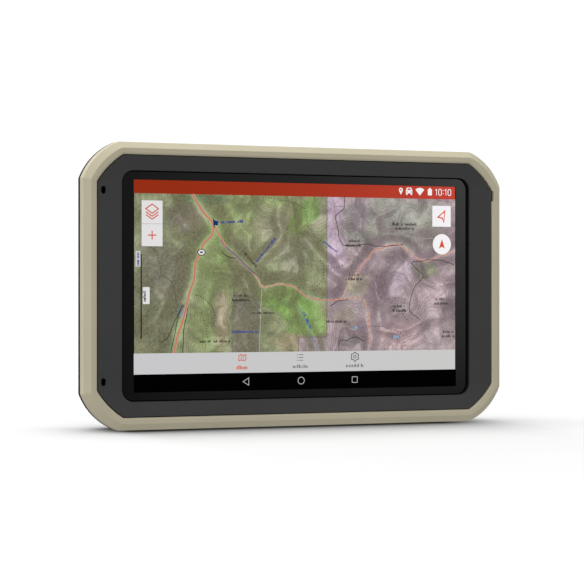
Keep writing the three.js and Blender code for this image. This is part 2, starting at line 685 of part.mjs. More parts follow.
// Card with a chamfered leading corner and a grip ridge at the outer end.
function memoryCard() {
  const { hy, hz } = CARD;
  const outerEnd = -91.7;
  const loop = toLoop([[outerEnd, -hz], [-77.6, -hz], [-77.6, 3.2], [-79.3, hz], [outerEnd, hz]]);
  return plate(loop, [-hy, hy]).add(box([outerEnd, -90.9], [-0.55, 0.3], about(0, hz)));
}

function portDoor() {
  const { start, pin, pinOut, thickness, hz, gap } = DOOR;
  const panel = wallPrism(
    [[start, 0], [start, -thickness], [pin, -thickness], [pin, pinOut + KNUCKLE_RADIUS]],
    hz,
  );
  // rounds the door's free corners; its front edge is at y = -2.2
  const trimHy = 9;
  const trim = prismX(rounded(trimHy, hz, 1.6, 3), [-112, -82])
    .translate([0, trimHy - 2.2, PORT_Z]);
  // finger scoop in the door's front edge
  const scoopCentre = wallPoint(start - gap, 3.35);
  const scoop = new THREE.SphereGeometry(4.2, 14, 8)
    .scale(1, 1, 1.5)
    .translate(scoopCentre.x, scoopCentre.y, PORT_Z);
  return panel
    .intersect(trim)
    .add(hingeRod(KNUCKLE_RADIUS, hz, 20))
    .subtract(hingeRod(0.62, 40, 12))
    .subtract(solid(scoop));
}

// Rectangular frame on the inner face of the door.
function doorSeal() {
  const inner = -DOOR.thickness;
  const outer = wallBar([3.2, 6.9], [inner - 1.1, inner - 0.05], BAY.hz - 0.5);
  return outer.subtract(wallBar([4.0, 6.1], [inner - 3, 0], BAY.hz - 1.4));
}

const ports = group();
add(ports, "data_port", dataPort(), MATERIAL.steel);
add(ports, "card_socket", cardSocket(), MATERIAL.steel);
add(ports, "memory_card", memoryCard(), MATERIAL.charcoal, [0, CARD.y, CARD.z]);
add(ports, "port_door", portDoor(), MATERIAL.silicone);
add(ports, "port_door_pin", hingeRod(0.5, DOOR.hz + 1.4, 12), MATERIAL.steel);
add(ports, "port_door_seal", doorSeal(), MATERIAL.silicone);

// ---------------------------------------------------------------- keys on the top edge
function powerButton() {
  const { x, hx } = POWER;
  return keyPrism(x, hx, KEY_HY, [TOP_INSIDE - 1.0, KEY_TOP])
    .add(keyPrism(x, 8.0, 3.3, [TOP_INSIDE - 1.0, TOP_INSIDE - 0.1])) // flange
    .add(box(about(x, 1.3), about(KEY_Y, 1.3), [55.3, TOP_INSIDE - 0.5])); // plunger
}

function volumeRocker() {
  const { x, hx, reach } = ROCKER;
  const feet = [-reach, reach].map((offset) =>
    box(about(x + offset, 1.1), about(KEY_Y, 1.1), [55.5, TOP_INSIDE - 1.5]),
  );
  const rocker = fuse(keyPrism(x, hx, KEY_HY, [TOP_INSIDE - 1.4, KEY_TOP]), [
    keyPrism(x, 12.0, 2.5, [TOP_INSIDE - 1.9, TOP_INSIDE - 0.9]), // flange
    box(about(x, 1.7), about(KEY_Y, 2.2), [54.9, TOP_INSIDE - 1]), // hinge block
    ...feet,
  ]);
  return cut(rocker, [
    // a shallow saddle in the middle of the cap tells the two ends apart
    rodY(5, about(KEY_Y, 4), 28, [x, KEY_TOP + 4.5]),
    rodY(ROCKER_PIN.holeRadius, about(KEY_Y, 6), 12, [x, ROCKER_PIN.z]),
  ]);
}

// Switch body with a round plunger reaching up to the given height.
function keySwitch(top) {
  const base = box(about(0, 2.1), about(KEY_Y, 2.1), [52.25, 53.9]);
  return base.add(rodZ(1.1, [53.8, top], 12, 0, KEY_Y));
}

const keys = group();
add(keys, "power_button", powerButton(), MATERIAL.key);
add(keys, "volume_rocker", volumeRocker(), MATERIAL.key);
const { radius: pinRadius, length: pinLength } = ROCKER_PIN;
const rockerPin = new THREE.CylinderGeometry(pinRadius, pinRadius, pinLength, 12);
add(keys, "rocker_pin", rockerPin, MATERIAL.steel, [ROCKER.x, ROCKER_PIN.y, ROCKER_PIN.z]);
add(keys, "key_board", box([20, 74], about(KEY_Y, 3.6), [51.4, 52.2]), MATERIAL.board);
for (const [name, x, top] of [
  ["power_switch", POWER.x, 54.7],
  ["volume_up_switch", ROCKER.x + ROCKER.reach, 55.0],
  ["volume_down_switch", ROCKER.x - ROCKER.reach, 55.0],
])
  add(keys, name, keySwitch(top), MATERIAL.steel, [x, 0, 0]);

export default root;
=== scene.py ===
"""A rugged display unit standing upright on a white floor.

The screen faces -Y, the rear dock +Y, and X runs to the right as seen from the front.
Design sizes are in millimetres with z measured from mid height. Meshes are in metres.
"""

import json
import math
import bpy
import bmesh
import numpy as np
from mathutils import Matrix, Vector


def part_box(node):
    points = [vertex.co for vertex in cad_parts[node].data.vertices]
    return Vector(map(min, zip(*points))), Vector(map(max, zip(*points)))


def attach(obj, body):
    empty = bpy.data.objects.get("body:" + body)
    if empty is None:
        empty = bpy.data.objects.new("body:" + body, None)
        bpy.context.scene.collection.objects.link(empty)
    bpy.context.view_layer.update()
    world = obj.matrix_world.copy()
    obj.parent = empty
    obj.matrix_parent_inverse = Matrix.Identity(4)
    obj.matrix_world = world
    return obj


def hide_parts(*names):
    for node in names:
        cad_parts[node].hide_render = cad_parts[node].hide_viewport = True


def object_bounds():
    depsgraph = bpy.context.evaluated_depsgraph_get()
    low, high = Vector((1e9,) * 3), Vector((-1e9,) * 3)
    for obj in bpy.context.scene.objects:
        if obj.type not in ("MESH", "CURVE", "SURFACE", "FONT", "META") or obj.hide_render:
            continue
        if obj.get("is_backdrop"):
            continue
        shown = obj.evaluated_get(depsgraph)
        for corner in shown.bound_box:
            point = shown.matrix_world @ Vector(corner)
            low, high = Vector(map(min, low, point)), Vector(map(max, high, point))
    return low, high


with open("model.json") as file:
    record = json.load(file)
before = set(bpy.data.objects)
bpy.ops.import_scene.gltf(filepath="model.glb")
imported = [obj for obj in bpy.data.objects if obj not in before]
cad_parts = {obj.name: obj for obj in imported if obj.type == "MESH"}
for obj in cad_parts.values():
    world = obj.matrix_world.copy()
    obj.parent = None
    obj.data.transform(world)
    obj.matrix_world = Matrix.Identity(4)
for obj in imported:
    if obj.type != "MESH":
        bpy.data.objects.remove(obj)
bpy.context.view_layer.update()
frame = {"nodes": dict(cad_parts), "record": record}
NODES = frame["nodes"]
SLOT_OF = {part["node"]: part["material_slot"] for part in frame["record"]["subparts"]}
BODIES = frame["record"]["behaviour"]["bodies"]
BODY_OF = {node: body for body, nodes in BODIES.items() for node in nodes}
MM = 0.001


# ------------------------------------------------------------------ driving sizes
def cad_box(node):
    low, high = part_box(node)
    return np.array(low) * 1000, np.array(high) * 1000


frame_low, frame_high = cad_box("front_frame")
HALF_W = frame_high[0]
HALF_H = frame_high[2] / 2
FRAME_FRONT, FRAME_BACK = frame_low[1], frame_high[1]


def span(node):
    """The CAD box of a node, with heights from mid height."""
    low, high = cad_box(node)
    return low - [0, 0, HALF_H], high - [0, 0, HALF_H]


glass_low, glass_high = span("cover_glass")
panel_low, panel_high = span("display_panel")
sensor_low, sensor_high = span("light_sensor_window")
plate_low, plate_high = span("dock_plate")
contact_low, contact_high = span("dock_contact_block")
BEZEL_BACK = span("front_bezel")[1][1]
RIM_BACK = span("rear_housing")[1][1]  # rim around the dock
KEY_TOP = span("power_button")[1][2]

# The corner is a bowed chamfer; both its sizes shrink per millimetre of inset
LEG, BOW, LEG_PER_MM, BOW_PER_MM = 15.5, 2.3, 0.72, 0.25
OPEN_W, OPEN_H, OPEN_R = glass_high[0] + 0.3, glass_high[2] + 0.3, 5.3  # screen opening
HOUSE_FRONT, FLANGE_BACK, SHOULDER, BACK = -5.1, -2.9, 7.0, 10.5  # y stations of the housing
TAPER, WALL, INNER_BACK = 4.6, 2.4, 8.3
WALL_IN = HALF_H - WALL
HOUSE_SCREWS = [  # name, x, z
    ("lower_left", -82, -44), ("upper_left", -82, 44),
    ("lower_right", 82, -44), ("upper_right", 82, 44),
    ("lower_middle", 0, -51), ("upper_middle", -8, 51),
]
DOCK_REACH = 22.5
DOCK_SCREWS = [(sx * DOCK_REACH, sz * DOCK_REACH) for sx, sz in ((-1, -1), (1, -1), (1, 1), (-1, 1))]

# ------------------------------------------------------------------ outlines
ROUND_STEPS, BOW_STEPS = 5, 16
CORNER_STEPS = 2 * ROUND_STEPS + BOW_STEPS


def arc_points(x, z, radius, angles):
    return np.stack([x + radius * np.cos(angles), z + radius * np.sin(angles)], 1)


def corner(half_x, half_z, leg, bow, radius):
    """The upper right corner: a wide bow between two tighter rounds, or a single arc."""
    chord = leg * math.sqrt(2)
    arc = (chord * chord / 4 + bow * bow) / (2 * bow)
    shift = (bow - arc) / math.sqrt(2) - leg / 2
    arc_x, arc_z = half_x + shift, half_z + shift
    kink = math.pi / 4 - math.asin(min(1, chord / 2 / arc))
    if kink < 0.02:
        return arc_points(arc_x, arc_z, arc, np.linspace(0, math.pi / 2, CORNER_STEPS + 1))
    radius = min(radius, arc * 0.5)
    round_x = half_x - radius
    round_z = arc_z + math.sqrt(max(0.0, (arc - radius) ** 2 - (round_x - arc_x) ** 2))
    turn = math.atan2(round_z - arc_z, round_x - arc_x)
    side = arc_points(round_x, round_z, radius, np.linspace(0, turn, ROUND_STEPS + 1))
    angles = np.linspace(turn, math.pi / 2 - turn, BOW_STEPS + 1)[1:-1]
    middle = arc_points(arc_x, arc_z, arc, angles)
    top = np.stack([side[::-1, 1] - arc_z + arc_x, side[::-1, 0] - arc_x + arc_z], 1)
    return np.vstack([side, middle, top])


def outline(half_x, half_z, leg, bow, radius=3.0):
    quarter = corner(half_x, half_z, leg, bow, radius)
    back = quarter[::-1]
    return np.vstack([quarter, back * [-1, 1], quarter * [-1, -1], back * [1, -1]])


def rounded(half_x, half_z, radius):
    radius = min(radius, half_x * 0.995, half_z * 0.995)
    return outline(half_x, half_z, radius, 0.29289 * radius)


def inset(width):
    """The outline of the unit, drawn in by the given width."""
    leg, bow = LEG - LEG_PER_MM * width, BOW - BOW_PER_MM * width
    return outline(HALF_W - width, HALF_H - width, leg, bow, max(2.5 - 0.2 * width, 1.2))


def dock_outline(half, leg):
    return outline(half, half, leg, leg * 0.12, 1.5)


def circle(radius, segments):
    return arc_points(0, 0, radius, np.linspace(0, 2 * math.pi, segments, endpoint=False))


def slot_shape(half_x, half_z, radius, center=(0, 0)):
    """A rounded rectangle as a function of how far it is grown."""
    return lambda grow: rounded(half_x + grow, half_z + grow, radius + grow) + center


def hole_shape(radius, segments, center):
    return lambda grow: circle(radius + grow, segments) + center


# ------------------------------------------------------------------ solids
def front_view(points):
    """Drawn in the plane of the screen; the third value is y."""
    return np.stack([points[:, 0], points[:, 2], points[:, 1] + HALF_H], 1)


def from_above(points):
    """Drawn in plan; the third value is the height."""
    return np.stack([points[:, 0], points[:, 1], points[:, 2] + HALF_H], 1)


def along_x(points):
    """Drawn as (y, z); the third value is x."""
    return np.stack([points[:, 2], points[:, 0], points[:, 1] + HALF_H], 1)


def ring(loop, height):
    return np.column_stack([loop, np.full(len(loop), height)])


def soften(levels, closed, steps):
    """Turn (loop, height, softening) levels into rings; a softened level becomes a curve."""
    rings = [ring(loop, height) for loop, height, _ in levels]
    out = []
    count = len(rings)
    for i, (_, _, soft) in enumerate(levels):
        here = rings[i]
        if soft <= 0 or (not closed and i in (0, count - 1)):
            out.append(here)
            continue
        ends = []
        for other in (rings[(i - 1) % count], rings[(i + 1) % count]):
            gap = np.linalg.norm(other - here, axis=1, keepdims=True)
            ends.append(here + (other - here) * np.minimum(soft / np.maximum(gap, 1e-9), 0.48))
        for t in np.linspace(0, 1, steps + 1):
            out.append((1 - t) ** 2 * ends[0] + 2 * t * (1 - t) * here + t * t * ends[1])
    return out


def to_object(bm, name):
    mesh = bpy.data.meshes.new(name)
    bm.to_mesh(mesh)
    bm.free()
    return mesh_object(name, mesh)


def mesh_object(name, mesh):
    obj = bpy.data.objects.new(name, mesh)
    bpy.context.scene.collection.objects.link(obj)
    return obj


def skin(rings, name, closed=False, view=front_view):
    """Join rings of equal length into a solid; closed joins the last ring to the first."""
    bm = bmesh.new()
    rows = [[bm.verts.new(Vector(co) * MM) for co in view(points)] for points in rings]
    count = len(rows[0])
    for i in range(len(rows) if closed else len(rows) - 1):
        low, high = rows[i], rows[(i + 1) % len(rows)]
        for j in range(count):
            k = (j + 1) % count
            bm.faces.new((low[j], low[k], high[k], high[j]))
    if not closed:
        bm.faces.new(rows[0])
        bm.faces.new(rows[-1])
    bmesh.ops.remove_doubles(bm, verts=bm.verts, dist=1e-7)
    bmesh.ops.recalc_face_normals(bm, faces=bm.faces)
    return to_object(bm, name)


def loft(levels, name="cutter", closed=False, view=front_view, steps=5):
    return skin(soften(levels, closed, steps), name, closed, view)


def prism(loop, low, high, view=front_view, name="cutter"):
    return loft([(loop, low, 0), (loop, high, 0)], name, view=view)


def around(center, half):
    return center - half, center + half


def block(x_range, y_range, z_range, name="cutter", soft=0.0):
    """A box, with softened edges when soft is given."""
    (x0, x1), (y0, y1), (z0, z1) = x_range, y_range, z_range
    center = [(x0 + x1) / 2, (y0 + y1) / 2]
    half_x, half_y = (x1 - x0) / 2, (y1 - y0) / 2
    if soft <= 0:
        signs = np.array([[1, 1], [-1, 1], [-1, -1], [1, -1]])
        return prism(signs * [half_x, half_y] + center, z0, z1, from_above, name)
    soft = min(soft, half_x * 0.8, half_y * 0.8)
    big = rounded(half_x, half_y, soft) + center
    small = rounded(half_x - soft * 0.9, half_y - soft * 0.9, soft * 0.3) + center
    levels = [(small, z0, 0), (big, z0, soft), (big, z1, soft), (small, z1, 0)]
    return loft(levels, name, view=from_above, steps=3)


def revolve(profile, center, segments, name="cutter", about="y"):
    """Turn a profile of (radius, place along the axis), running from axis to axis."""
    first, second = center
    bm = bmesh.new()
    rows = []
    for radius, along in profile:
        if radius < 1e-6:
            row = [(first, second)]
        else:
            angles = np.linspace(0, 2 * math.pi, segments, endpoint=False)
            row = [(first + radius * math.cos(a), second + radius * math.sin(a)) for a in angles]
        if about == "y":
            row = [(p, along, q + HALF_H) for p, q in row]
        else:
            row = [(p, q, along + HALF_H) for p, q in row]
        rows.append([bm.verts.new(Vector(co) * MM) for co in row])
    for low, high in zip(rows, rows[1:]):
        count = max(len(low), len(high))
        for j in range(count):
            k = (j + 1) % count
            if len(low) == 1:
                bm.faces.new((low[0], high[k], high[j]))
            elif len(high) == 1:
                bm.faces.new((low[j], low[k], high[0]))
            else:
                bm.faces.new((low[j], low[k], high[k], high[j]))
    bmesh.ops.recalc_face_normals(bm, faces=bm.faces)
    return to_object(bm, name)


def rod(radius, start, end, center, segments, about="y"):
    profile = [(0, start), (radius, start), (radius, end), (0, end)]
    return revolve(profile, center, segments, about=about)


def opening(shape, face, deep, lip, view=front_view, outward=1):
    """A cutter with a rounded lip; outward is the direction out of the surface."""
    levels = [(0.0, deep)]
    for a in np.linspace(0, math.pi / 2, 6):
        levels.append((lip * (1 - math.cos(a)), face - outward * (lip - lip * math.sin(a))))
    levels += [(lip + 0.02, face + outward * 0.003), (lip + 0.02, face + outward * 2.0)]
    return skin([ring(shape(grow), height) for grow, height in levels], "cutter", view=view)


def hex_socket(center, radius, wide, floor_y, lip_y, top_y):
    small, big = circle(radius, 6) + center, circle(wide, 6) + center
    return loft([(small, floor_y, 0), (small, lip_y, 0), (big, top_y, 0)])


def boolean(obj, tools, operation):
    for tool in tools:
        mod = obj.modifiers.new("boolean", "BOOLEAN")
        mod.operation, mod.object = operation, tool
        mod.solver = "MANIFOLD"
        bpy.context.view_layer.update()
        graph = bpy.context.evaluated_depsgraph_get()
        mesh = bpy.data.meshes.new_from_object(obj.evaluated_get(graph), depsgraph=graph)
        if len(mesh.polygons) < 4:  # the fast solver found no solid: take the exact one
            mod.solver = "EXACT"
            graph.update()
            mesh = bpy.data.meshes.new_from_object(obj.evaluated_get(graph), depsgraph=graph)
        obj.modifiers.clear()
        old = obj.data
        obj.data = mesh
        bpy.data.meshes.remove(old)
    for tool in tools:
        bpy.data.objects.remove(tool)


def cut(obj, *tools):
    boolean(obj, tools, "DIFFERENCE")


def join(obj, *tools):
    boolean(obj, tools, "UNION")


def common(obj, *tools):
    boolean(obj, tools, "INTERSECT")


# ------------------------------------------------------------------ finishing a piece
def tidy(obj):
    """Clear slivers that booleans leave behind."""
    bm = bmesh.new()
    bm.from_mesh(obj.data)
    bmesh.ops.dissolve_degenerate(bm, dist=2e-6, edges=bm.edges)
    bmesh.ops.remove_doubles(bm, verts=bm.verts, dist=1e-6)
    bm.to_mesh(obj.data)
    bm.free()
    return obj


def shade(obj, angle=32):
    """Smooth shading within the given angle, with flat faces kept truly flat.

    Small faces that bend are marked in the edge_wear attribute.
    """
    mesh = obj.data
    face_count, corner_count = len(mesh.polygons), len(mesh.loops)
    face_normal, face_area = np.empty(face_count * 3), np.empty(face_count)
    corner_vert = np.empty(corner_count, np.int32)
    face_size = np.empty(face_count, np.int32)
    mesh.polygons.foreach_get("normal", face_normal)
    mesh.polygons.foreach_get("area", face_area)
    mesh.polygons.foreach_get("loop_total", face_size)
    mesh.loops.foreach_get("vertex_index", corner_vert)
    face_normal = face_normal.reshape(-1, 3)
    face_of = np.repeat(np.arange(face_count), face_size)
    order = np.argsort(corner_vert, kind="stable")
    count = np.bincount(corner_vert, minlength=len(mesh.vertices))
    first = np.concatenate([[0], np.cumsum(count)[:-1]])
    normals = face_normal[face_of]
    bend = np.zeros(corner_count, np.float32)
    near, same = math.cos(math.radians(angle)), math.cos(math.radians(0.7))
    for size in np.unique(count[count > 1]):
        verts = np.nonzero(count == size)[0]
        batches = max(1, len(verts) * int(size) ** 2 // 4000000)
        for part in np.array_split(verts, batches):
            corners = order[first[part][:, None] + np.arange(size)]
            normal, area = face_normal[face_of[corners]], face_area[face_of[corners]]
            dots = np.einsum("mic,mjc->mij", normal, normal)
            weight = np.where(dots >= near, area[:, None, :], 0.0)
            mean = np.einsum("mij,mjc->mic", weight, normal)
            mean /= np.maximum(np.linalg.norm(mean, axis=-1, keepdims=True), 1e-12)
            level = np.where(dots >= same, area[:, None, :], 0.0).sum(-1)
            flat = level > 0.7 * weight.sum(-1)
            normals[corners] = np.where(flat[..., None], normal, mean)
            bend[corners] = ~flat
    small = face_area[face_of] < 0.3 * np.median(face_area[face_area > 1e-9]) + 4e-6
    worn = mesh.attributes.new("edge_wear", "FLOAT", "CORNER")
    worn.data.foreach_set("value", bend * small)
    mesh.polygons.foreach_set("use_smooth", np.ones(face_count, bool))
    mesh.normals_split_custom_set(normals.tolist())
    mesh.update()


def dress(obj, node, *materials, angle=32):
    """Finish a new piece: materials, shading, body, and the CAD node it stands for."""
    obj.data.materials.clear()
    for material in materials:
        obj.data.materials.append(material)
    shade(obj, angle)
    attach(obj, BODY_OF[node])
    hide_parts(node)


# ------------------------------------------------------------------ shader building
def srgb(red, green, blue):
    def linear(value):
        return value / 12.92 if value <= 0.04045 else ((value + 0.055) / 1.055) ** 2.4

    return (linear(red / 255), linear(green / 255), linear(blue / 255), 1.0)


def scaled(color, factor, lift=0.0):
    return tuple(min(1, value * factor + lift) for value in color[:3]) + (1,)


class Graph:
    """Short calls that add linked nodes to one node tree."""

    def __init__(self, tree):
        self.tree = tree
        self.place = None

    def put(self, socket, value):
        if isinstance(value, bpy.types.NodeSocket):
            self.tree.links.new(value, socket)
        else:
            socket.default_value = value

    def node(self, kind, inputs=None, **settings):
        node = self.tree.nodes.new("ShaderNode" + kind)
        for key, value in settings.items():
            setattr(node, key, value)
        for key, value in (inputs or {}).items():
            self.put(node.inputs[key], value)
        return node

    def coord(self):
        if self.place is None:
            self.place = self.node("TexCoord").outputs["Object"]
        return self.place

    def axes(self):
        return self.node("SeparateXYZ", {0: self.coord()}).outputs

    def noise(self, scale=1.0, detail=3.0, rough=0.55, stretch=None, distortion=0.0):
        where = self.coord()
        if stretch:
            where = self.node("Mapping", {"Vector": where, "Scale": stretch}).outputs["Vector"]
        inputs = {"Vector": where, "Scale": scale, "Detail": detail, "Roughness": rough}
        inputs["Distortion"] = distortion
        return self.node("TexNoise", inputs).outputs["Fac"]

    def voronoi(self, scale, feature="F1"):
        inputs = {"Scale": scale, "Vector": self.coord()}
        return self.node("TexVoronoi", inputs, feature=feature).outputs["Distance"]

    def remap(self, value, source, target=(0.0, 1.0)):
        inputs = {"Value": value, "From Min": source[0], "From Max": source[1]}
        inputs |= {"To Min": target[0], "To Max": target[1]}
        return self.node("MapRange", inputs).outputs["Result"]

    def mix(self, factor, first, second):
        inputs = {0: factor, 6: first, 7: second}
        return self.node("Mix", inputs, data_type="RGBA", clamp_factor=True).outputs[2]

    def mix_shader(self, factor, first, second):
        return self.node("MixShader", {0: factor, 1: first, 2: second}).outputs[0]

    def math(self, operation, first, second=0.0):
        return self.node("Math", {0: first, 1: second}, operation=operation).outputs[0]

    def plus(self, first, second):
        return self.math("ADD", first, second)

    def minus(self, first, second):
        return self.math("SUBTRACT", first, second)

    def times(self, first, second):
        return self.math("MULTIPLY", first, second)

    def edges(self):
        """1 on the rounded edges, 0 on flat faces."""
        return self.node("Attribute", attribute_name="edge_wear").outputs["Fac"]

    def bump(self, height, strength, depth_mm):
        inputs = {"Height": height, "Strength": strength, "Distance": depth_mm * MM}
        return self.node("Bump", inputs).outputs["Normal"]

    def emission(self, **inputs):
        return self.node("Emission", inputs).outputs[0]

    def surface(self, shader):
        self.node("OutputMaterial", {"Surface": shader})

    def principled(self, color, rough, metallic=0.0, normal=None, specular=0.5, coat=0.0):
        inputs = {"Base Color": color, "Roughness": rough, "Metallic": metallic}
        inputs |= {"Specular IOR Level": specular, "Coat Weight": coat}
        if normal is not None:
            inputs["Normal"] = normal
        self.surface(self.node("BsdfPrincipled", inputs).outputs["BSDF"])


def new_material(name):
    material = bpy.data.materials.new(name)
    material.use_nodes = True
    material.node_tree.nodes.clear()
    return material, Graph(material.node_tree)


def reopen(material):
    """The graph, surface node and present colour of a finished material."""
    tree = material.node_tree
    finish = next(node for node in tree.nodes if node.type == "BSDF_PRINCIPLED")
    return Graph(tree), finish, finish.inputs["Base Color"].links[0].from_socket


# ------------------------------------------------------------------ plastics and metals
def moulded(name, rgb, rough, grain, bump, vary, wear, specular=0.5, pits=0.0, light_rgb=None):
    """Moulded plastic or rubber: fine grain, slow drift of tone, polish on the edges."""
    material, graph = new_material(name)
    base = srgb(*rgb)
    light = srgb(*light_rgb) if light_rgb else scaled(base, 1 + vary)
    drift = graph.remap(graph.noise(scale=38, detail=4.0), (0.3, 0.7))
    tone = graph.mix(drift, scaled(base, 1 - vary), light)
    fine = graph.noise(scale=grain, detail=2.0, rough=0.6)
    tone = graph.mix(graph.remap(fine, (0.35, 0.75), (0.0, 0.35)), tone, scaled(base, 1.22))
    smudge = graph.remap(graph.noise(scale=140, detail=5.0, rough=0.6), (0.35, 0.7))
    worn = graph.times(graph.times(graph.edges(), smudge), wear)
    tone = graph.mix(worn, tone, scaled(base, 1.9, lift=0.02))
    gloss = graph.noise(scale=220, detail=4.0)
    gloss = graph.remap(gloss, (0.3, 0.7), (rough - 0.06, rough + 0.06))
    gloss = graph.minus(gloss, graph.times(worn, 0.25))
    height = fine
    if pits:
        dents = graph.remap(graph.voronoi(scale=grain * 0.42), (0.1, 0.7))
        height = graph.plus(height, graph.times(dents, pits))
    height = graph.plus(height, graph.times(graph.noise(scale=520), 0.5))
    normal = graph.bump(height, strength=bump, depth_mm=0.012)
    graph.principled(tone, gloss, normal=normal, specular=specular)
    return material


def metal(name, rgb, rough, brush=(60, 60, 3200), grain=2600, bump=0.2, wear=0.3,
          worn_rgb=(200, 200, 200)):
    """Brushed metal, paler on its worn edges; brush is the stretch of the lines."""
    material, graph = new_material(name)
    base = srgb(*rgb)
    drift = graph.remap(graph.noise(scale=60, detail=4.0), (0.3, 0.7), (0.42, 0.58))
    tone = graph.mix(drift, scaled(base, 0.82), base)
    lines = graph.noise(rough=0.6, stretch=brush)
    tone = graph.mix(graph.remap(lines, (0.4, 0.7), (0.0, 0.25)), tone, scaled(base, 1.25))
    patches = graph.remap(graph.noise(scale=300, detail=4.0), (0.3, 0.6))
    worn = graph.times(graph.edges(), patches)
    tone = graph.mix(graph.times(worn, wear), tone, srgb(*worn_rgb))
    gloss = graph.remap(lines, (0.3, 0.7), (rough - 0.07, rough + 0.09))
    height = graph.plus(lines, graph.times(graph.noise(scale=grain, detail=2.0), 0.4))
    normal = graph.bump(height, strength=bump, depth_mm=0.004)
    graph.principled(tone, gloss, metallic=1.0, normal=normal)
    return material


MOULDED = {
    # colour, roughness, grain, bump, tone variation, wear, specular, pits, lighter tone
    "sand_polymer": ((205, 198, 171), 0.56, 5200, 0.28, 0.03, 0.03, 0.25, 0.4, (208, 200, 174)),
    "bezel_polymer": ((67, 67, 67), 0.54, 5600, 0.26, 0.05, 0.04, 0.30, 0.3),
    "housing_polymer": ((44, 44, 43), 0.60, 1900, 0.62, 0.13, 0.40, 0.30, 1.0),
    "black_polymer": ((30, 30, 31), 0.50, 5200, 0.30, 0.10, 0.15),
    "seal_rubber": ((26, 27, 29), 0.78, 3000, 0.35, 0.12, 0.0, 0.3),
    "key_rubber": ((33, 34, 35), 0.62, 4600, 0.40, 0.08, 0.22, 0.35, 0.4),
    "door_rubber": ((31, 32, 33), 0.70, 3800, 0.50, 0.10, 0.15, 0.3, 0.6),
    "backlight": ((205, 205, 200), 0.35, 2500, 0.1, 0.03, 0.0),
    "ceramic": ((214, 203, 178), 0.55, 3200, 0.2, 0.05, 0.05),
    "polyimide": ((168, 98, 28), 0.35, 2400, 0.1, 0.12, 0.05),
    "cable_jacket": ((28, 28, 30), 0.55, 2600, 0.2, 0.08, 0.1),
    "cell_wrap": ((45, 62, 84), 0.38, 900, 0.5, 0.08, 0.1),
    "card_polymer": ((56, 60, 68), 0.42, 3800, 0.25, 0.12, 0.3),
}
METALS = {
    # colour, roughness, brush, grain, bump, wear, worn colour
    "steel": ((150, 152, 155), 0.34),
    "black_steel": ((52, 53, 56), 0.42, (60, 60, 3200), 2600, 0.2, 0.55, (130, 130, 134)),
    "contact_gold": ((224, 182, 98), 0.26, (900, 900, 900), 3000, 0.12, 0.2, (245, 215, 150)),
    "chassis_alloy": ((150, 152, 154), 0.48, (500, 500, 500), 2200, 0.35),
    "plated_shell": ((205, 203, 198), 0.30, (700, 700, 700), 2600, 0.15, 0.1),
    "plated_cage": ((196, 195, 190), 0.34, (500, 500, 500), 2400, 0.2, 0.1),
}
MAT = {name: moulded(name, *look) for name, look in MOULDED.items()}
MAT |= {name: metal(name, *look) for name, look in METALS.items()}


def darken_bezel_wall():
    """The wall of the screen opening falls into shadow with depth."""
    graph, finish, color = reopen(MAT["bezel_polymer"])
    y = graph.axes()[1]
    wall = (-0.0114, -0.0104)
    depth = graph.remap(y, wall, (0.0, 0.85))
    graph.put(finish.inputs["Base Color"], graph.mix(depth, color, (0.002, 0.002, 0.002, 1)))
    graph.put(finish.inputs["Specular IOR Level"], graph.remap(y, wall, (0.30, 0.05)))


def add_port_tongue():
    """The tongue in the plated shell is dark plastic with gold contact strips."""
    graph, finish, color = reopen(MAT["plated_shell"])
    x, y, z = graph.axes()
    port_y, port_z, strips_per_metre = 0.001, 0.058, 2000.0

    def near(value, center, half):
        offset = graph.math("ABSOLUTE", graph.minus(value, center))
        return graph.math("LESS_THAN", offset, half)

    inside = graph.times(near(y, port_y, 0.00141), near(z, port_z, 0.00415))
    inside = graph.times(inside, graph.math("GREATER_THAN", x, -0.0908))
    strips = graph.math("FRACT", graph.times(graph.minus(z, port_z), strips_per_metre))
    gold = graph.times(graph.math("LESS_THAN", strips, 0.5), near(z, port_z, 0.003))
    gold = graph.times(gold, near(y, port_y, 0.0005))
    tongue = graph.mix(gold, srgb(34, 34, 36), srgb(226, 184, 100))
    graph.put(finish.inputs["Base Color"], graph.mix(inside, color, tongue))
    plastic = graph.times(inside, graph.minus(1.0, gold))
    graph.put(finish.inputs["Metallic"], graph.minus(1.0, plastic))


def board_material():
    """Green laminate: a woven ground under a cell pattern."""
    material, graph = new_material("board_laminate")
    weave = graph.plus(
        graph.noise(detail=1.0, rough=0.5, stretch=(2400, 2400, 60)),
        graph.noise(detail=1.0, rough=0.5, stretch=(60, 2400, 2400)),
    )
    tone = graph.mix(graph.remap(weave, (0.8, 1.25)), srgb(14, 52, 34), srgb(26, 78, 50))
    cells = graph.voronoi(scale=420, feature="DISTANCE_TO_EDGE")
    tone = graph.mix(graph.remap(cells, (0.0, 0.05), (0.6, 0.0)), tone, srgb(52, 110, 74))
    normal = graph.bump(graph.plus(weave, cells), strength=0.3, depth_mm=0.01)
    graph.principled(tone, 0.42, normal=normal)
    return material


def lens_material():
    material, graph = new_material("sensor_lens")
    drift = graph.remap(graph.noise(scale=300), (0.3, 0.7))
    tone = graph.mix(drift, srgb(12, 9, 11), srgb(20, 14, 18))
    gloss = graph.remap(graph.noise(scale=900), (0.3, 0.7), (0.05, 0.12))
    graph.principled(tone, gloss, specular=0.35, coat=0.4)
    return material


darken_bezel_wall()
add_port_tongue()
MAT["board_laminate"] = board_material()
MAT["sensor_lens"] = lens_material()


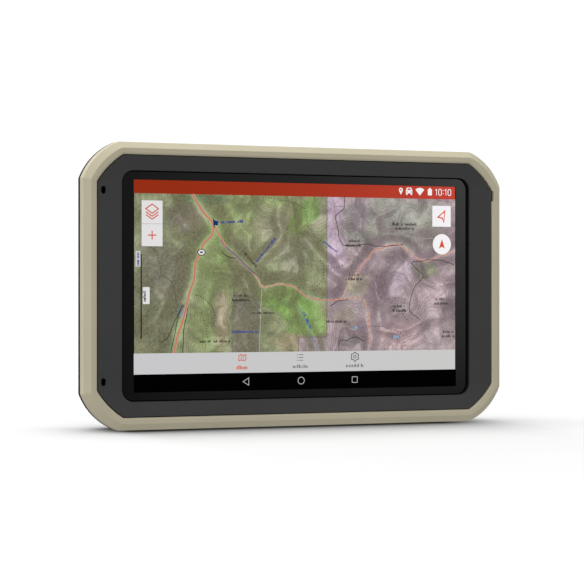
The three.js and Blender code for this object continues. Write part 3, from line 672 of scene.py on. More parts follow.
# ------------------------------------------------------------------ glass and screen materials
def glass_border_material():
    """Black print on the glass, seen through its polish."""
    material, graph = new_material("glass_border_print")
    drift = graph.remap(graph.noise(scale=60, detail=5.0), (0.35, 0.7))
    tone = graph.mix(drift, srgb(4, 4, 4), srgb(8, 8, 9))
    smear = graph.noise(detail=4.0, rough=0.6, stretch=(30, 30, 70), distortion=0.6)
    normal = graph.bump(graph.noise(scale=900, detail=2.0), strength=0.03, depth_mm=0.004)
    graph.principled(tone, graph.remap(smear, (0.3, 0.7), (0.035, 0.10)), normal=normal)
    return material


def glass_window_material():
    """Anti-reflection window over the lit area."""
    material, graph = new_material("glass_window")
    smear = graph.noise(detail=4.0, rough=0.6, stretch=(25, 25, 60), distortion=0.5)
    gloss = graph.remap(smear, (0.3, 0.7), (0.03, 0.09))
    polish = graph.node("BsdfGlossy", {"Color": (0.9, 0.92, 1.0, 1), "Roughness": gloss})
    rim = graph.node("LayerWeight", {"Blend": 0.08}).outputs["Fresnel"]
    factor = graph.remap(rim, (0.0, 1.0), (0.0, 0.10))
    clear = graph.node("BsdfTransparent")
    graph.surface(graph.mix_shader(factor, clear.outputs[0], polish.outputs[0]))
    return material


def black_matrix_material():
    material, graph = new_material("lcd_black")
    drift = graph.remap(graph.noise(scale=400), (0.3, 0.7))
    tone = graph.mix(drift, (0.0006, 0.0006, 0.0007, 1), (0.0012, 0.0012, 0.0013, 1))
    gloss = graph.remap(graph.noise(scale=800), (0.3, 0.7), (0.35, 0.5))
    graph.principled(tone, gloss, specular=0.0)
    return material


WINDOW_X, WINDOW_Z = 76.8, 45.0  # half sizes of the clear window


def lit(name, left, right=None, curve=1.0):
    """A lit colour under a faint grid, going from its left tone to its right tone; the lighter right
    side is a painted reflection of the glass.
    """
    material, graph = new_material(name)
    axes = graph.axes()
    across = graph.remap(axes[0], (-WINDOW_X * MM, WINDOW_X * MM))
    # painted reflection: the tone lightens from the left edge to the right
    tone = graph.mix(graph.math("POWER", across, curve), srgb(*left), srgb(*(right or left)))
    pitch_mm, gap, darkness = 0.15, 0.12, 0.06
    columns, rows = (
        graph.math("GREATER_THAN", graph.math("FRACT", graph.times(axis, 1000 / pitch_mm)), gap)
        for axis in (axes[0], axes[2])
    )
    lines = graph.minus(1.0, graph.times(columns, rows))
    tone = graph.mix(graph.times(lines, darkness), tone, (0, 0, 0, 1))
    graph.surface(graph.emission(Color=tone))
    return material


# ------------------------------------------------------------------ front frame
sensor_at = [(sensor_low[0] + sensor_high[0]) / 2, (sensor_low[2] + sensor_high[2]) / 2]
SENSOR_W = (sensor_high[0] - sensor_low[0]) / 2 + 0.15
SENSOR_H = (sensor_high[2] - sensor_low[2]) / 2 + 0.15
CHAMFER_W, CHAMFER_D, FRAME_W = 2.73, 2.65, 5.4


def sensor_notch(face):
    shape = slot_shape(SENSOR_W, SENSOR_H, 0.9, sensor_at)
    return opening(shape, face, deep=-9.6, lip=0.08, outward=-1)


front = loft([
    (inset(0), FRAME_BACK, 0.18),
    (inset(0), FRAME_FRONT + CHAMFER_D, 0.28),
    (inset(CHAMFER_W), FRAME_FRONT, 0.22),
    (inset(FRAME_W - 0.75), FRAME_FRONT, 0.28),
    (inset(FRAME_W), FRAME_FRONT + 0.55, 0.22),
    (inset(FRAME_W), -9.0, 0),
    (inset(3.9), -9.0, 0),
    (inset(3.9), FRAME_BACK, 0),
    # groove in the back face
    (inset(2.3), FRAME_BACK, 0),
    (inset(2.3), -6.5, 0),
    (inset(0.9), -6.5, 0),
    (inset(0.9), FRAME_BACK, 0),
], "front_frame_moulding", closed=True)
cut(front, sensor_notch(FRAME_FRONT))
dress(tidy(front), "front_frame", MAT["sand_polymer"])

# ------------------------------------------------------------------ bezel and sensor window
bezel = loft([
    (inset(FRAME_W + 0.3), -12.25, 0.28),
    (rounded(OPEN_W + 0.2, OPEN_H + 0.05, OPEN_R), -11.6, 0.2),
    (rounded(OPEN_W - 0.12, OPEN_H - 0.12, OPEN_R - 0.1), -8.84, 0),
    (rounded(80.9, 47.4, 1.6), -8.84, 0),
    (rounded(80.9, 47.4, 1.6), BEZEL_BACK, 0),
    (inset(4.2), BEZEL_BACK, 0),
    (inset(4.2), -8.8, 0),
    (inset(FRAME_W + 0.3), -8.8, 0),
], "bezel_moulding", closed=True)
for sign in (1, -1):  # two upright slots near the left edge
    slot = slot_shape(1.05, 1.6, 1.04, (-91.0, sign * 40.2))
    cut(bezel, opening(slot, -12.09, deep=-6, lip=0.22, outward=-1))
cut(bezel, sensor_notch(-12.2))
dress(tidy(bezel), "front_bezel", MAT["bezel_polymer"])

lens_edge = rounded(SENSOR_W - 0.15, SENSOR_H - 0.15, 0.75) + sensor_at
lens = loft([
    (rounded(SENSOR_W - 0.6, SENSOR_H - 0.6, 0.4) + sensor_at, sensor_low[1], 0),
    (lens_edge, sensor_low[1], 0.25),
    (lens_edge, sensor_high[1], 0),
], "sensor_lens_window")
dress(lens, "light_sensor_window", MAT["sensor_lens"])

# ------------------------------------------------------------------ cover glass
GLASS_FRONT = glass_low[1] + 0.45
glass_edge = rounded(glass_high[0], glass_high[2] + 0.2, 5.0)
window = rounded(WINDOW_X, WINDOW_Z, 0.5)
glass = loft([
    (window, GLASS_FRONT, 0),
    (rounded(glass_high[0] - 0.3, glass_high[2] - 0.05, 4.7), GLASS_FRONT, 0.1),
    (glass_edge, GLASS_FRONT + 0.25, 0.1),
    (glass_edge, glass_high[1], 0.08),
    (window, glass_high[1], 0),
], "cover_glass_sheet")
dress(glass, "cover_glass", glass_border_material(), glass_window_material(), angle=25)
for face in glass.data.polygons:
    if len(face.vertices) > 20:  # the two end faces are the clear window
        face.material_index = 1

# ------------------------------------------------------------------ display panel
panel_edge = rounded(panel_high[0], panel_high[2], 1.2)
panel_cap = rounded(panel_high[0] - 0.3, panel_high[2] - 0.3, 1.0)
panel = loft([
    (panel_cap, panel_low[1], 0),
    (panel_edge, panel_low[1], 0.12),
    (panel_edge, panel_high[1], 0.12),
    (panel_cap, panel_high[1], 0),
], "lcd_module")
dress(panel, "display_panel", black_matrix_material())

# ------------------------------------------------------------------ map: its lines, in x and z
MAP_TOP, MAP_BOTTOM = 39.3, -28.5
SHIFT_X = 0.45  # the picture sits this far off centre behind the glass
BORDER_X, BORDER_Z, BORDER_LEFT = 12.7, -22.3, -1.0  # stepped edge of the eastern sheet


def unit(vectors):
    return vectors / np.maximum(np.linalg.norm(vectors, axis=1, keepdims=True), 1e-9)


def turned(vectors):
    return np.stack([-vectors[:, 1], vectors[:, 0]], 1)


def smooth(*points):
    """A soft curve through the given points, eight steps to each span."""
    points = np.array(points, float)
    run = np.vstack([2 * points[0] - points[1], points, 2 * points[-1] - points[-2]])
    out = []
    for i in range(1, len(run) - 2):
        p0, p1, p2, p3 = run[i - 1 : i + 3]
        for t in np.linspace(0, 1, 8, endpoint=False):
            square, cube = 2 * p0 - 5 * p1 + 4 * p2 - p3, 3 * p1 - p0 - 3 * p2 + p3
            out.append(0.5 * (2 * p1 + (p2 - p0) * t + square * t**2 + cube * t**3))
    out.append(points[-1])
    return np.array(out)


def wavy(amount, seed, *points):
    """A soft curve with small bends added."""
    line = smooth(*points)
    rng = np.random.default_rng(seed)
    steps = np.arange(len(line))
    waves = ((0.45, 0.5), (0.9, 0.35), (1.7, 0.2))  # frequency, size
    sway = sum(np.sin(steps * freq + rng.random() * 6.3) * size for freq, size in waves)
    sway *= np.minimum(1, np.minimum(steps, steps[::-1]) / 6)
    return line + turned(unit(np.gradient(line, axis=0))) * (sway * amount)[:, None]


ROAD = smooth(
    (-50.6, 39.3), (-45.5, 31.6), (-41.4, 27.4), (-41.4, 22.3), (-45.5, 18.0), (-46.6, 14.4),
    (-49.1, 9.9), (-49.8, 3.0), (-51.9, -2.9), (-53.7, -10.2), (-55.1, -15.3), (-57.3, -21.2),
    (-58.9, -28.5))
BRANCH = wavy(
    0.35, 3, (-40.6, 26.0), (-36.3, 18.9), (-31.7, 14.2), (-25.6, 9.1), (-21.0, 4.0),
    (-17.2, -0.3), (-9.7, 1.0), (-3.5, -0.3), (2.7, -4.3), (12.7, -6.4), (22, -5.2),
    (30.2, -6.0), (32.7, -10.5), (32.9, -16), (33.7, -22), (33.2, -28.5))
UPPER = wavy(
    0.3, 5, (20.5, -4.5), (23.4, 1.0), (27.8, 6.3), (31.2, 11.2), (34.9, 15.0), (38.6, 17.0),
    (47.0, 18.6), (52.2, 16.2), (57.2, 12.5), (63.5, 11.8), (68.6, 13.7), (76.8, 16.4))
STREAM = wavy(0.3, 11, (-1.5, -8.0), (0.8, -12.1), (3.6, -18.2), (6.5, -23.5), (8.4, -28.4))
WEST_STREAM = wavy(0.2, 42, (-55.2, -7.5), (-56.3, -11), (-57.6, -16), (-60.5, -28.5))
VALE = smooth((-8, 39.3), (-10.5, 30), (-9.2, 22), (-15, 15), (-21.4, 10.4))
EAST_VALE = smooth((2, 21), (8, 14.5), (12.5, 10.5), (17.5, 5.5), (21, 4.2))
MAUVE = smooth((-37.6, 19.8), (-35.4, 16.8), (-30.8, 13.2), (-26.1, 8.7), (-20.5, 4.0))
TRAILS = [  # waviness, then points; seeds run from 21
    (0.25, (76.8, 9.5), (69.1, 11.8), (61, 11.6), (54.5, 10.4), (60.0, 5.1), (57, 1),
     (54.5, -3.0), (53.5, -10.5), (58.5, -15.0)),
    (0.3, (21.2, 39.3), (20.9, 34.4), (17.1, 31.3), (17.6, 26.9), (18.5, 22.1), (20.9, 17.9),
     (26.3, 18.1), (32.4, 18.6), (40.1, 17.8), (50.0, 18.6)),
    (0.2, (18.4, -28.4), (19.0, -24.2), (22.9, -23.6), (26.8, -22.4), (31.2, -24.4)),
    (0.2, (-54.5, -8.0), (-56.0, -10.2), (-58.7, -15.2), (-61.4, -21.2), (-65.0, -24.1)),
    (0.1, (-37.2, 14.6), (-34.0, 12.7), (-30.6, 12.0)),
    (0.2, (14, -8.8), (18, -6.6), (23, -5.9)),
    (0.2, (-52.6, -9.1), (-53.4, -13.6), (-54.4, -18.7), (-55.0, -28.5)),
]
DOTTED = [  # waviness, then points; seeds run from 31
    (0.3, (-70.6, 16.9), (-66.8, 14.4), (-65.4, 8.9), (-64.5, 5.1), (-60.5, 2.2),
     (-58.7, -1.7), (-57.8, -6.8), (-55.5, -9.7)),
    (0.4, (-18.2, 38.6), (-9.7, 37.6), (-4.0, 36.6), (1.7, 34.4), (2.9, 30.2), (4.6, 24.6),
     (10.3, 19.4), (12.4, 16.6)),
    (0.3, (30.0, -18.2), (34.9, -17.6), (43.5, -18.9), (49.7, -21.7), (51.5, -28.4)),
    (0.4, (-49.1, -3.8), (-45.5, -5.1), (-42.3, -8.1), (-40.0, -12.4), (-40.9, -16.3)),
    (0.4, (9.4, 11.5), (11.3, 7.1), (8.9, 0.6), (5.5, -2.5)),
    (0.3, (46, -5), (51, -6), (50, -12), (52, -15)),
    (0.5, (-46.5, -11.3), (-44.6, -16.6), (-43.4, -22.7)),
    (0.3, (13.2, 9.0), (17.5, 8.2), (21.0, 9.6)),
]
WHITE_DOTS = wavy(0.2, 41, (-18.4, -1.6), (-18.6, -6.0), (-19.1, -14.6), (-19.6, -28.3))

# ------------------------------------------------------------------ map: height of the ground
MAP_COLS, MAP_ROWS = 330, 150
col_x = np.linspace(-WINDOW_X, WINDOW_X, MAP_COLS)
row_z = np.linspace(MAP_BOTTOM, MAP_TOP, MAP_ROWS)
grid_x, grid_z = np.meshgrid(col_x, row_z, indexing="ij")


def value_noise(x, z, scale, seed):
    lattice = np.random.default_rng(seed).random((64, 64))
    across, up = x / scale + 31.7, z / scale + 17.3
    col, row = np.floor(across).astype(int), np.floor(up).astype(int)
    right, top = (f**3 * (f * (6 * f - 15) + 10) for f in (across - col, up - row))

    def pick(i, j):
        return lattice[(col + i) % 64, (row + j) % 64]

    low = pick(0, 0) * (1 - right) + pick(1, 0) * right
    high = pick(0, 1) * (1 - right) + pick(1, 1) * right
    return low * (1 - top) + high * top


def grid_noise(scale, seed):
    return value_noise(grid_x, grid_z, scale, seed)


def distance_to(line):
    best = np.full(grid_x.shape, 1e9)
    for (x, z), end in zip(line[:-1], line[1:]):
        dx, dz = end - (x, z)
        t = np.clip(((grid_x - x) * dx + (grid_z - z) * dz) / max(dx * dx + dz * dz, 1e-9), 0, 1)
        best = np.minimum(best, np.hypot(grid_x - x - t * dx, grid_z - z - t * dz))
    return best


def smoothstep(value, start, end):
    t = np.clip((value - start) / (end - start), 0, 1)
    return t * t * (3 - 2 * t)


def ridge(x, z, scale, seed):
    return 1 - np.abs(2 * value_noise(x, z, scale, seed) - 1)


bent_x = grid_x + 5.0 * (grid_noise(15, 1) - 0.5) + 2.0 * (grid_noise(6, 2) - 0.5)
bent_z = grid_z + 5.0 * (grid_noise(15, 3) - 0.5) + 2.0 * (grid_noise(6, 4) - 0.5)
ground = (
    0.54 * ridge(bent_x, bent_z, 21, 51) ** 1.2
    + 0.26 * ridge(bent_x, bent_z, 10.5, 52)
    + 0.09 * value_noise(bent_x, bent_z, 5.2, 53)
    + 0.05 * value_noise(bent_x, bent_z, 2.6, 54)
)
from_road, from_branch, from_upper = distance_to(ROAD), distance_to(BRANCH), distance_to(UPPER)
from_vale = np.minimum(distance_to(STREAM), distance_to(EAST_VALE))
from_vale = np.minimum(distance_to(VALE), from_vale)
ground *= (
    (0.10 + 0.90 * smoothstep(from_road, 1.0, 10.0))
    * (0.35 + 0.65 * smoothstep(from_branch, 0.3, 6.5))
    * (0.45 + 0.55 * smoothstep(from_upper, 0.2, 5))
    * (0.5 + 0.5 * smoothstep(from_vale, 0, 4.5))
)
flat_bowl = np.exp(-(((grid_x + 4) / 16) ** 2 + ((grid_z + 12) / 9) ** 2))
ground *= 1 - 0.55 * flat_bowl
rise_x, rise_z = np.gradient(ground, col_x, row_z)
grade = np.hypot(rise_x, rise_z)
facing = np.stack([-rise_x * 12, -rise_z * 12, np.ones_like(ground)], -1)
facing /= np.linalg.norm(facing, axis=-1, keepdims=True)
sun = np.array([-0.52, 0.55, 0.66])
hill = facing @ (sun / np.linalg.norm(sun))
hill = (hill - 0.66) / 0.34  # 0 on level ground, 1 facing the light

# ------------------------------------------------------------------ map: colour of the ground
ragged = 0.55 * (grid_noise(7, 61) - 0.5)
ragged_fine = 0.3 * (grid_noise(3.1, 62) - 0.5)


def blob(x, z, radius_x, radius_z, edge=1.0, tilt=0.0):
    """The mask of a ragged oval; a larger edge fades more slowly."""
    cos, sin = math.cos(tilt), math.sin(tilt)
    along = ((grid_x - x) * cos + (grid_z - z) * sin) / radius_x
    over = ((grid_z - z) * cos - (grid_x - x) * sin) / radius_z
    reach = np.hypot(along, over) + ragged + ragged_fine
    return 1 - smoothstep(reach, 1 - 0.35 * edge, 1 + 0.35 * edge)


def paint(base, rgb, mask):
    return base * (1 - mask[..., None]) + np.array(rgb, float) * mask[..., None]


def paint_blobs(base, rows):
    for rgb, *shape in rows:
        base = paint(base, rgb, blob(*shape))
    return base


# Ragged patches in painting order: colour, x, z, half width, half height, edge, tilt
WEST_GROUND = [
    ((148, 166, 104), -22, 33, 26, 12), ((128, 160, 84), -43, 8, 9, 20, 0.8, -0.12),
    ((139, 160, 98), -41, -12, 12, 17, 0.9, -0.2), ((117, 114, 98), -63, 3, 13, 17),
    ((112, 116, 84), -66, -17, 12, 11), ((124, 116, 104), -52, 30, 8, 7),
    ((158, 156, 128), -9, 24, 12, 9, 1.2), ((164, 160, 136), 5, 31, 8, 7),
]
WEST_DETAIL = [
    ((166, 153, 124), -36.5, -15, 4.0, 12, 0.6), ((112, 116, 82), -24, 1, 7, 6),
    ((146, 148, 122), -3, 14, 9, 8), ((112, 150, 62), -8, -6, 11, 6, 0.8),
    ((118, 160, 70), 2, -13, 12, 8, 0.7), ((110, 146, 66), 2, 31, 5.5, 9, 0.8, -0.5),
    ((164, 152, 118), -4, -25, 9, 4, 0.6), ((90, 130, 84), -45, 37.5, 12, 2.4),
]
EAST_GROUND = [
    ((178, 154, 176), 16, 25, 6, 18, 0.6), ((134, 134, 124), 46, 27, 27, 11, 0.8),
    ((152, 152, 142), 54, 34, 15, 5), ((128, 122, 128), 28, 32, 5, 8),
    ((186, 164, 172), 67, -2, 7, 12, 0.8, -0.25), ((124, 108, 118), 44, 6, 5, 12, 1.0, -0.6),
    ((176, 156, 170), 50, 4, 3.6, 10, 0.8, -0.6), ((172, 166, 140), 27, 1, 6, 5),
    ((170, 160, 146), 21, -13, 6, 5), ((120, 104, 110), 73, -15, 5, 10),
    ((190, 160, 164), 47, -21, 9, 7, 0.8), ((122, 112, 114), 23, -24, 6, 2.6, 0.8),
    ((132, 140, 110), 62, 7, 6, 3.4),
]
blank = np.zeros(grid_x.shape + (3,))
tint = paint_blobs(blank + np.array([136.0, 144, 104]), WEST_GROUND)
band = smoothstep(grid_x, -32.9, -32.2) * (1 - smoothstep(grid_x, -19.9, -19.2))
tint = paint(tint, (112, 108, 95), band * (1 - smoothstep(grid_z, -3.0, -2.0)))
tint = paint_blobs(tint, WEST_DETAIL)
east = (grid_x > BORDER_X) | ((grid_x > BORDER_LEFT) & (grid_z < BORDER_Z))
east_tint = paint_blobs(blank + np.array([163.0, 144, 150]), EAST_GROUND)
tint = np.where(east[..., None], east_tint, tint)
# paler ground beside the road, the branch and the western stream
verge = 1 - smoothstep(from_road, 0.6, 4.2)
tint = paint(tint, (150, 176, 112), verge * 0.55 * ~east)
verge = 1 - smoothstep(np.minimum(from_branch, distance_to(WEST_STREAM)), 0.4, 2.0)
tint = paint(tint, (138, 176, 120), verge * 0.30 * ~east)
tint = tint + 12.0 * east[..., None]  # the eastern sheet is a little lighter
tint = paint(tint, (148, 160, 192), blob(-55.4, -11.2, 2.0, 2.2, 1.2, -0.4) * 0.8)

speck = grid_noise(1.6, 71) - 0.5 + 0.6 * (grid_noise(0.8, 72) - 0.5)
cloud = value_noise(bent_x, bent_z, 7.5, 73) + 0.6 * value_noise(bent_x, bent_z, 3.6, 74)
cloud = cloud / 0.8 - 1.0
patch = value_noise(bent_x, bent_z, 4.4, 75) - 0.5
streak = ridge(bent_x * 0.72 + bent_z * 0.38, bent_z * 0.8 - bent_x * 0.3, 3.4, 76)
light = 0.095 * np.tanh(hill * 0.9) + 0.16 * cloud + 0.16 * patch
light = light + 0.10 * (streak - 0.5) + 0.10 * speck
tint = tint * np.clip(1.0 + light, 0.74, 1.22)[..., None] + 4.0
tint = paint(tint, (196, 192, 178), np.clip(light * 1.5, 0, 0.30) * np.where(east, 0.6, 1.0))
tint = paint(tint, (92, 104, 72), np.clip(-light * 1.1, 0, 0.25) * ~east)
# painted reflection of the glass: the map lightens towards the right
tint *= (0.97 + 0.06 * (grid_x + WINDOW_X) / (2 * WINDOW_X))[..., None]
tint = np.clip(tint, 0, 255) / 255
tint = np.where(tint <= 0.04045, tint / 12.92, ((tint + 0.055) / 1.055) ** 2.4)

# ------------------------------------------------------------------ map: the slab
SHEET = 0.008  # thickness of each layer of the picture


def layer_range(layer):
    """Front and back y of a layer, counted from the panel forward."""
    back = -8.826 - 0.012 * layer
    return back - SHEET, back


def screen_point(x, y, z):
    return ((x + SHIFT_X) * MM, y * MM, (z + HALF_H) * MM)


def recalc_normals(mesh):
    bm = bmesh.new()
    bm.from_mesh(mesh)
    bmesh.ops.recalc_face_normals(bm, faces=bm.faces)
    bm.to_mesh(mesh)
    bm.free()


def put_on_screen(obj):
    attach(obj, "unit")


def map_slab(name):
    """A full grid in front, closed by a rim to a single face behind."""
    front_y, back_y = layer_range(0)
    last_col, last_row = MAP_COLS - 1, MAP_ROWS - 1
    cells = [(i, j) for i in range(MAP_COLS) for j in range(MAP_ROWS)]
    border = [(i, j) for i, j in cells if i in (0, last_col) or j in (0, last_row)]
    verts = [screen_point(col_x[i], front_y, row_z[j]) for i, j in cells]
    verts += [screen_point(col_x[i], back_y, row_z[j]) for i, j in border]
    back = {cell: len(cells) + k for k, cell in enumerate(border)}

    def index(i, j):
        return i * MAP_ROWS + j

    rim = [(i, 0) for i in range(MAP_COLS)] + [(last_col, j) for j in range(1, MAP_ROWS)]
    rim += [(i, last_row) for i in range(last_col - 1, -1, -1)]
    rim += [(0, j) for j in range(last_row - 1, 0, -1)]
    faces = [
        (index(i, j), index(i + 1, j), index(i + 1, j + 1), index(i, j + 1))
        for i in range(last_col) for j in range(last_row)
    ]
    for here, after in zip(rim, rim[1:] + rim[:1]):
        faces.append((index(*here), back[here], back[after], index(*after)))
    faces.append(tuple(back[cell] for cell in rim[::-1]))
    mesh = bpy.data.meshes.new(name)
    mesh.from_pydata(verts, [], faces)
    rgba = np.dstack([tint, np.ones_like(ground)])
    for key, kind, field, fill, values in (
        ("tint", "FLOAT_COLOR", "color", 1, rgba),
        ("height", "FLOAT", "value", 0, ground),
        ("grade", "FLOAT", "value", 1, grade),
    ):
        values = values.reshape(len(cells), -1)
        data = np.full((len(verts), values.shape[1]), fill, np.float32)
        data[: len(cells)] = values
        mesh.attributes.new(key, kind, "POINT").data.foreach_set(field, data.ravel())
    recalc_normals(mesh)
    return mesh_object(name, mesh)


def map_material():
    """Tinted hillshade with contour lines drawn from the height of the ground."""
    material, graph = new_material("map_picture")
    tint_node, height_node, grade_node = (
        graph.node("Attribute", attribute_name=key) for key in ("tint", "height", "grade")
    )
    tone = tint_node.outputs["Color"]
    eastern = graph.math("GREATER_THAN", graph.axes()[0], (BORDER_X + SHIFT_X) * MM)
    # height step, line width in mm, strength of the ink
    for step, width, dark in ((0.0095, 0.085, 0.52), (0.0475, 0.13, 0.62)):
        level = graph.math("FRACT", graph.math("DIVIDE", height_node.outputs["Fac"], step))
        off = graph.math("ABSOLUTE", graph.minus(level, 0.5))
        off = graph.times(graph.minus(0.5, off), step)
        steepness = graph.math("MAXIMUM", grade_node.outputs["Fac"], 0.006)
        far = graph.math("DIVIDE", off, steepness)  # mm to the line
        line = graph.remap(far, (width * 0.4, width * 1.3), (dark, 0.0))
        tone = graph.mix(line, tone, graph.mix(eastern, srgb(92, 84, 50), srgb(96, 66, 84)))
    fine = graph.noise(scale=900, detail=4.0, rough=0.65)
    tone = graph.mix(graph.remap(fine, (0.3, 0.7), (0.0, 0.16)), tone, srgb(230, 232, 214))
    dots = graph.noise(scale=1500, detail=2.0)
    tone = graph.mix(graph.remap(dots, (0.35, 0.65), (0.0, 0.14)), tone, srgb(60, 62, 48))
    graph.surface(graph.emission(Color=tone))
    return material


picture = map_slab("screen_map_relief")
picture.data.materials.append(map_material())
shade(picture, angle=80)
put_on_screen(picture)


# ------------------------------------------------------------------ flat artwork
class Art:
    """Closed thin sheets on the screen, gathered into one mesh with a material for each ink."""

    def __init__(self):
        self.verts, self.faces, self.face_inks, self.inks = [], [], [], []

    def add_points(self, points, layer):
        """Add the points in front and again behind; returns the first index."""
        base = len(self.verts)
        for y in layer_range(layer):
            self.verts += [screen_point(p[0], y, p[1]) for p in points]
        return base

    def add_faces(self, faces, ink):
        if ink not in self.inks:
            self.inks.append(ink)
        self.faces += faces
        self.face_inks += [self.inks.index(ink)] * len(faces)

    def strip(self, left, right, ink, layer, closed):
        count = len(left)
        base = self.add_points(list(left) + list(right), layer)
        faces = []
        for i in range(count if closed else count - 1):
            l0, l1 = base + i, base + (i + 1) % count
            r0, r1, deep = l0 + count, l1 + count, 2 * count
            faces += [
                (l0, r0, r1, l1), (l0 + deep, l1 + deep, r1 + deep, r0 + deep),
                (l0, l1, l1 + deep, l0 + deep), (r0, r0 + deep, r1 + deep, r1),
            ]
        if not closed:
            deep = 2 * count
            start, end = base, base + count - 1
            faces.append((start, start + deep, start + count + deep, start + count))
            faces.append((end, end + count, end + count + deep, end + deep))
        self.add_faces(faces, ink)

    def line(self, points, width, ink, layer, closed=False):
        points = np.array(points, float)
        if not closed:
            x = points[:, 0]
            points = points[(x > -WINDOW_X - 0.01) & (x < WINDOW_X - SHIFT_X + 0.01)]
            if len(points) < 2:
                return
        ahead = np.roll(points, -1, 0) - points
        behind = points - np.roll(points, 1, 0)
        if not closed:
            ahead[-1], behind[0] = behind[-1], ahead[0]
        behind = unit(behind)
        side = turned(unit(unit(ahead) + behind))
        miter = np.abs((side * turned(behind)).sum(1))
        reach = side * (1 / np.maximum(0.5, miter))[:, None] * width / 2
        self.strip(points + reach, points - reach, ink, layer, closed)

    def poly(self, points, ink, layer):
        """A convex or gently concave outline."""
        base, count = self.add_points(points, layer), len(points)
        cap = tuple(range(base, base + count))
        faces = [cap, tuple(i + count for i in cap)[::-1]]
        for i in range(count):
            here, after = base + i, base + (i + 1) % count
            faces.append((here, here + count, after + count, after))
        self.add_faces(faces, ink)

    def rect(self, x0, x1, z0, z1, ink, layer, radius=0.0):
        points = [(x0, z0), (x1, z0), (x1, z1), (x0, z1)]
        if radius:
            points = rounded((x1 - x0) / 2, (z1 - z0) / 2, radius)[::3]
            points = points + [(x0 + x1) / 2, (z0 + z1) / 2]
        self.poly(points, ink, layer)

    def oval(self, x, z, radius_x, radius_z, segments, ink, layer):
        self.poly(circle(1.0, segments) * [radius_x, radius_z] + [x, z], ink, layer)

    def dashes(self, points, width, dash, gap, ink, layer):
        steps = np.linalg.norm(np.diff(points, axis=0), axis=1)
        along = np.concatenate([[0], np.cumsum(steps)])
        start = 0.0
        while start + dash < along[-1]:
            places = (start, start + dash / 2, start + dash)
            run = [[np.interp(s, along, points[:, axis]) for axis in (0, 1)] for s in places]
            self.line(run, width, ink, layer)
            start += dash + gap

    def ticks(self, x, z, widths, height, ink, layer, angle=0.0, seed=0, weight=0.34):
        """Filler in place of a label: rows of plain upright ticks, no letters."""
        rng = np.random.default_rng(seed)
        cos, sin = math.cos(angle), math.sin(angle)
        for row, width in enumerate(widths):
            along = -width / 2
            foot = -row * height * 1.55
            while along < width / 2:
                tall = height * (1.0 if rng.random() < 0.2 else 0.70)
                if rng.random() > 0.12:
                    tick = [
                        (x + along * cos - up * sin, z + along * sin + up * cos)
                        for up in (foot, foot + tall)
                    ]
                    self.line(tick, height * weight * (0.7 + 0.5 * rng.random()), ink, layer)
                along += height * (0.40 + 0.16 * rng.random())

    def build(self, name):
        mesh = bpy.data.meshes.new(name)
        mesh.from_pydata(self.verts, [], self.faces)
        mesh.polygons.foreach_set("material_index", self.face_inks)
        recalc_normals(mesh)
        for ink in self.inks:
            mesh.materials.append(INK[ink])
        put_on_screen(mesh_object(name, mesh))


INK_TONES = {  # tone at the left edge, tone at the right edge, curve between them; the lighter right edge is a painted reflection of the glass
    "road": ((194, 118, 96), (202, 134, 126)),
    "road_edge": ((184, 162, 122), (198, 166, 154)),
    "mauve": ((150, 124, 132),),
    "lane": ((184, 164, 124), (196, 164, 150)),
    "trail": ((40, 46, 40), (62, 54, 62)),
    "dark": ((50, 56, 40), (64, 56, 62)),
    "water": ((84, 122, 150), (110, 126, 168)),
    "blue_label": ((58, 74, 132), (76, 84, 158)),
    "pale": ((214, 222, 206), (224, 222, 224)),
    "boundary": ((98, 78, 92),),
    "status_bar": ((149, 46, 21), (196, 68, 54), 2.0),
    "white": ((226, 223, 224), (246, 244, 246)),
    "tab_bar": ((201, 201, 203), (202, 202, 201)),
    "accent": ((204, 82, 46), (218, 78, 38)),
    "grey": ((74, 74, 76),),
    "black": ((10, 10, 12),),
    "navigation": ((182, 182, 184), (190, 190, 192)),
    "divider": ((186, 178, 180),),
    "flag": ((16, 58, 120),),
    "lake": ((132, 164, 190),),
}
INK = {name: lit("ink_" + name, *tones) for name, tones in INK_TONES.items()}

MAP_LABELS = [  # x, z, row widths, height, ink, angle; seeds run from 101
    (-32.0, 27.2, [10.5], 1.3, "blue_label", 0.05),
    (-16.0, 15.4, [13], 1.3, "blue_label", 0.86),
    (-24.5, 11.6, [9], 1.2, "trail", -0.84),
    (-26.0, -20.2, [12], 1.5, "blue_label", 0.0),
    (14.0, 17.0, [8], 1.2, "blue_label", -0.62),
    (2.6, -15.0, [9], 1.3, "blue_label", -1.1),
    (-28.0, -4.6, [6.5, 8], 1.25, "dark", 0.0),
    (-18.0, -12.0, [11], 1.0, "dark", 0.0),
    (-40.0, -24.2, [14], 1.2, "dark", 0.0),
    (26.0, 19.5, [5, 8], 1.25, "dark", 0.0),
    (26.0, 4.6, [4.5, 8], 1.25, "dark", 0.0),
    (51.0, 27.2, [12, 9], 1.25, "dark", 0.0),
    (17.5, -16.0, [10], 1.25, "dark", 0.0),
    (48.0, -9.4, [5, 7], 1.25, "dark", 0.0),
    (69.5, -6.2, [5, 8], 1.25, "dark", 0.0),
    (73.0, -21.0, [5, 6], 1.25, "dark", 0.0),
]


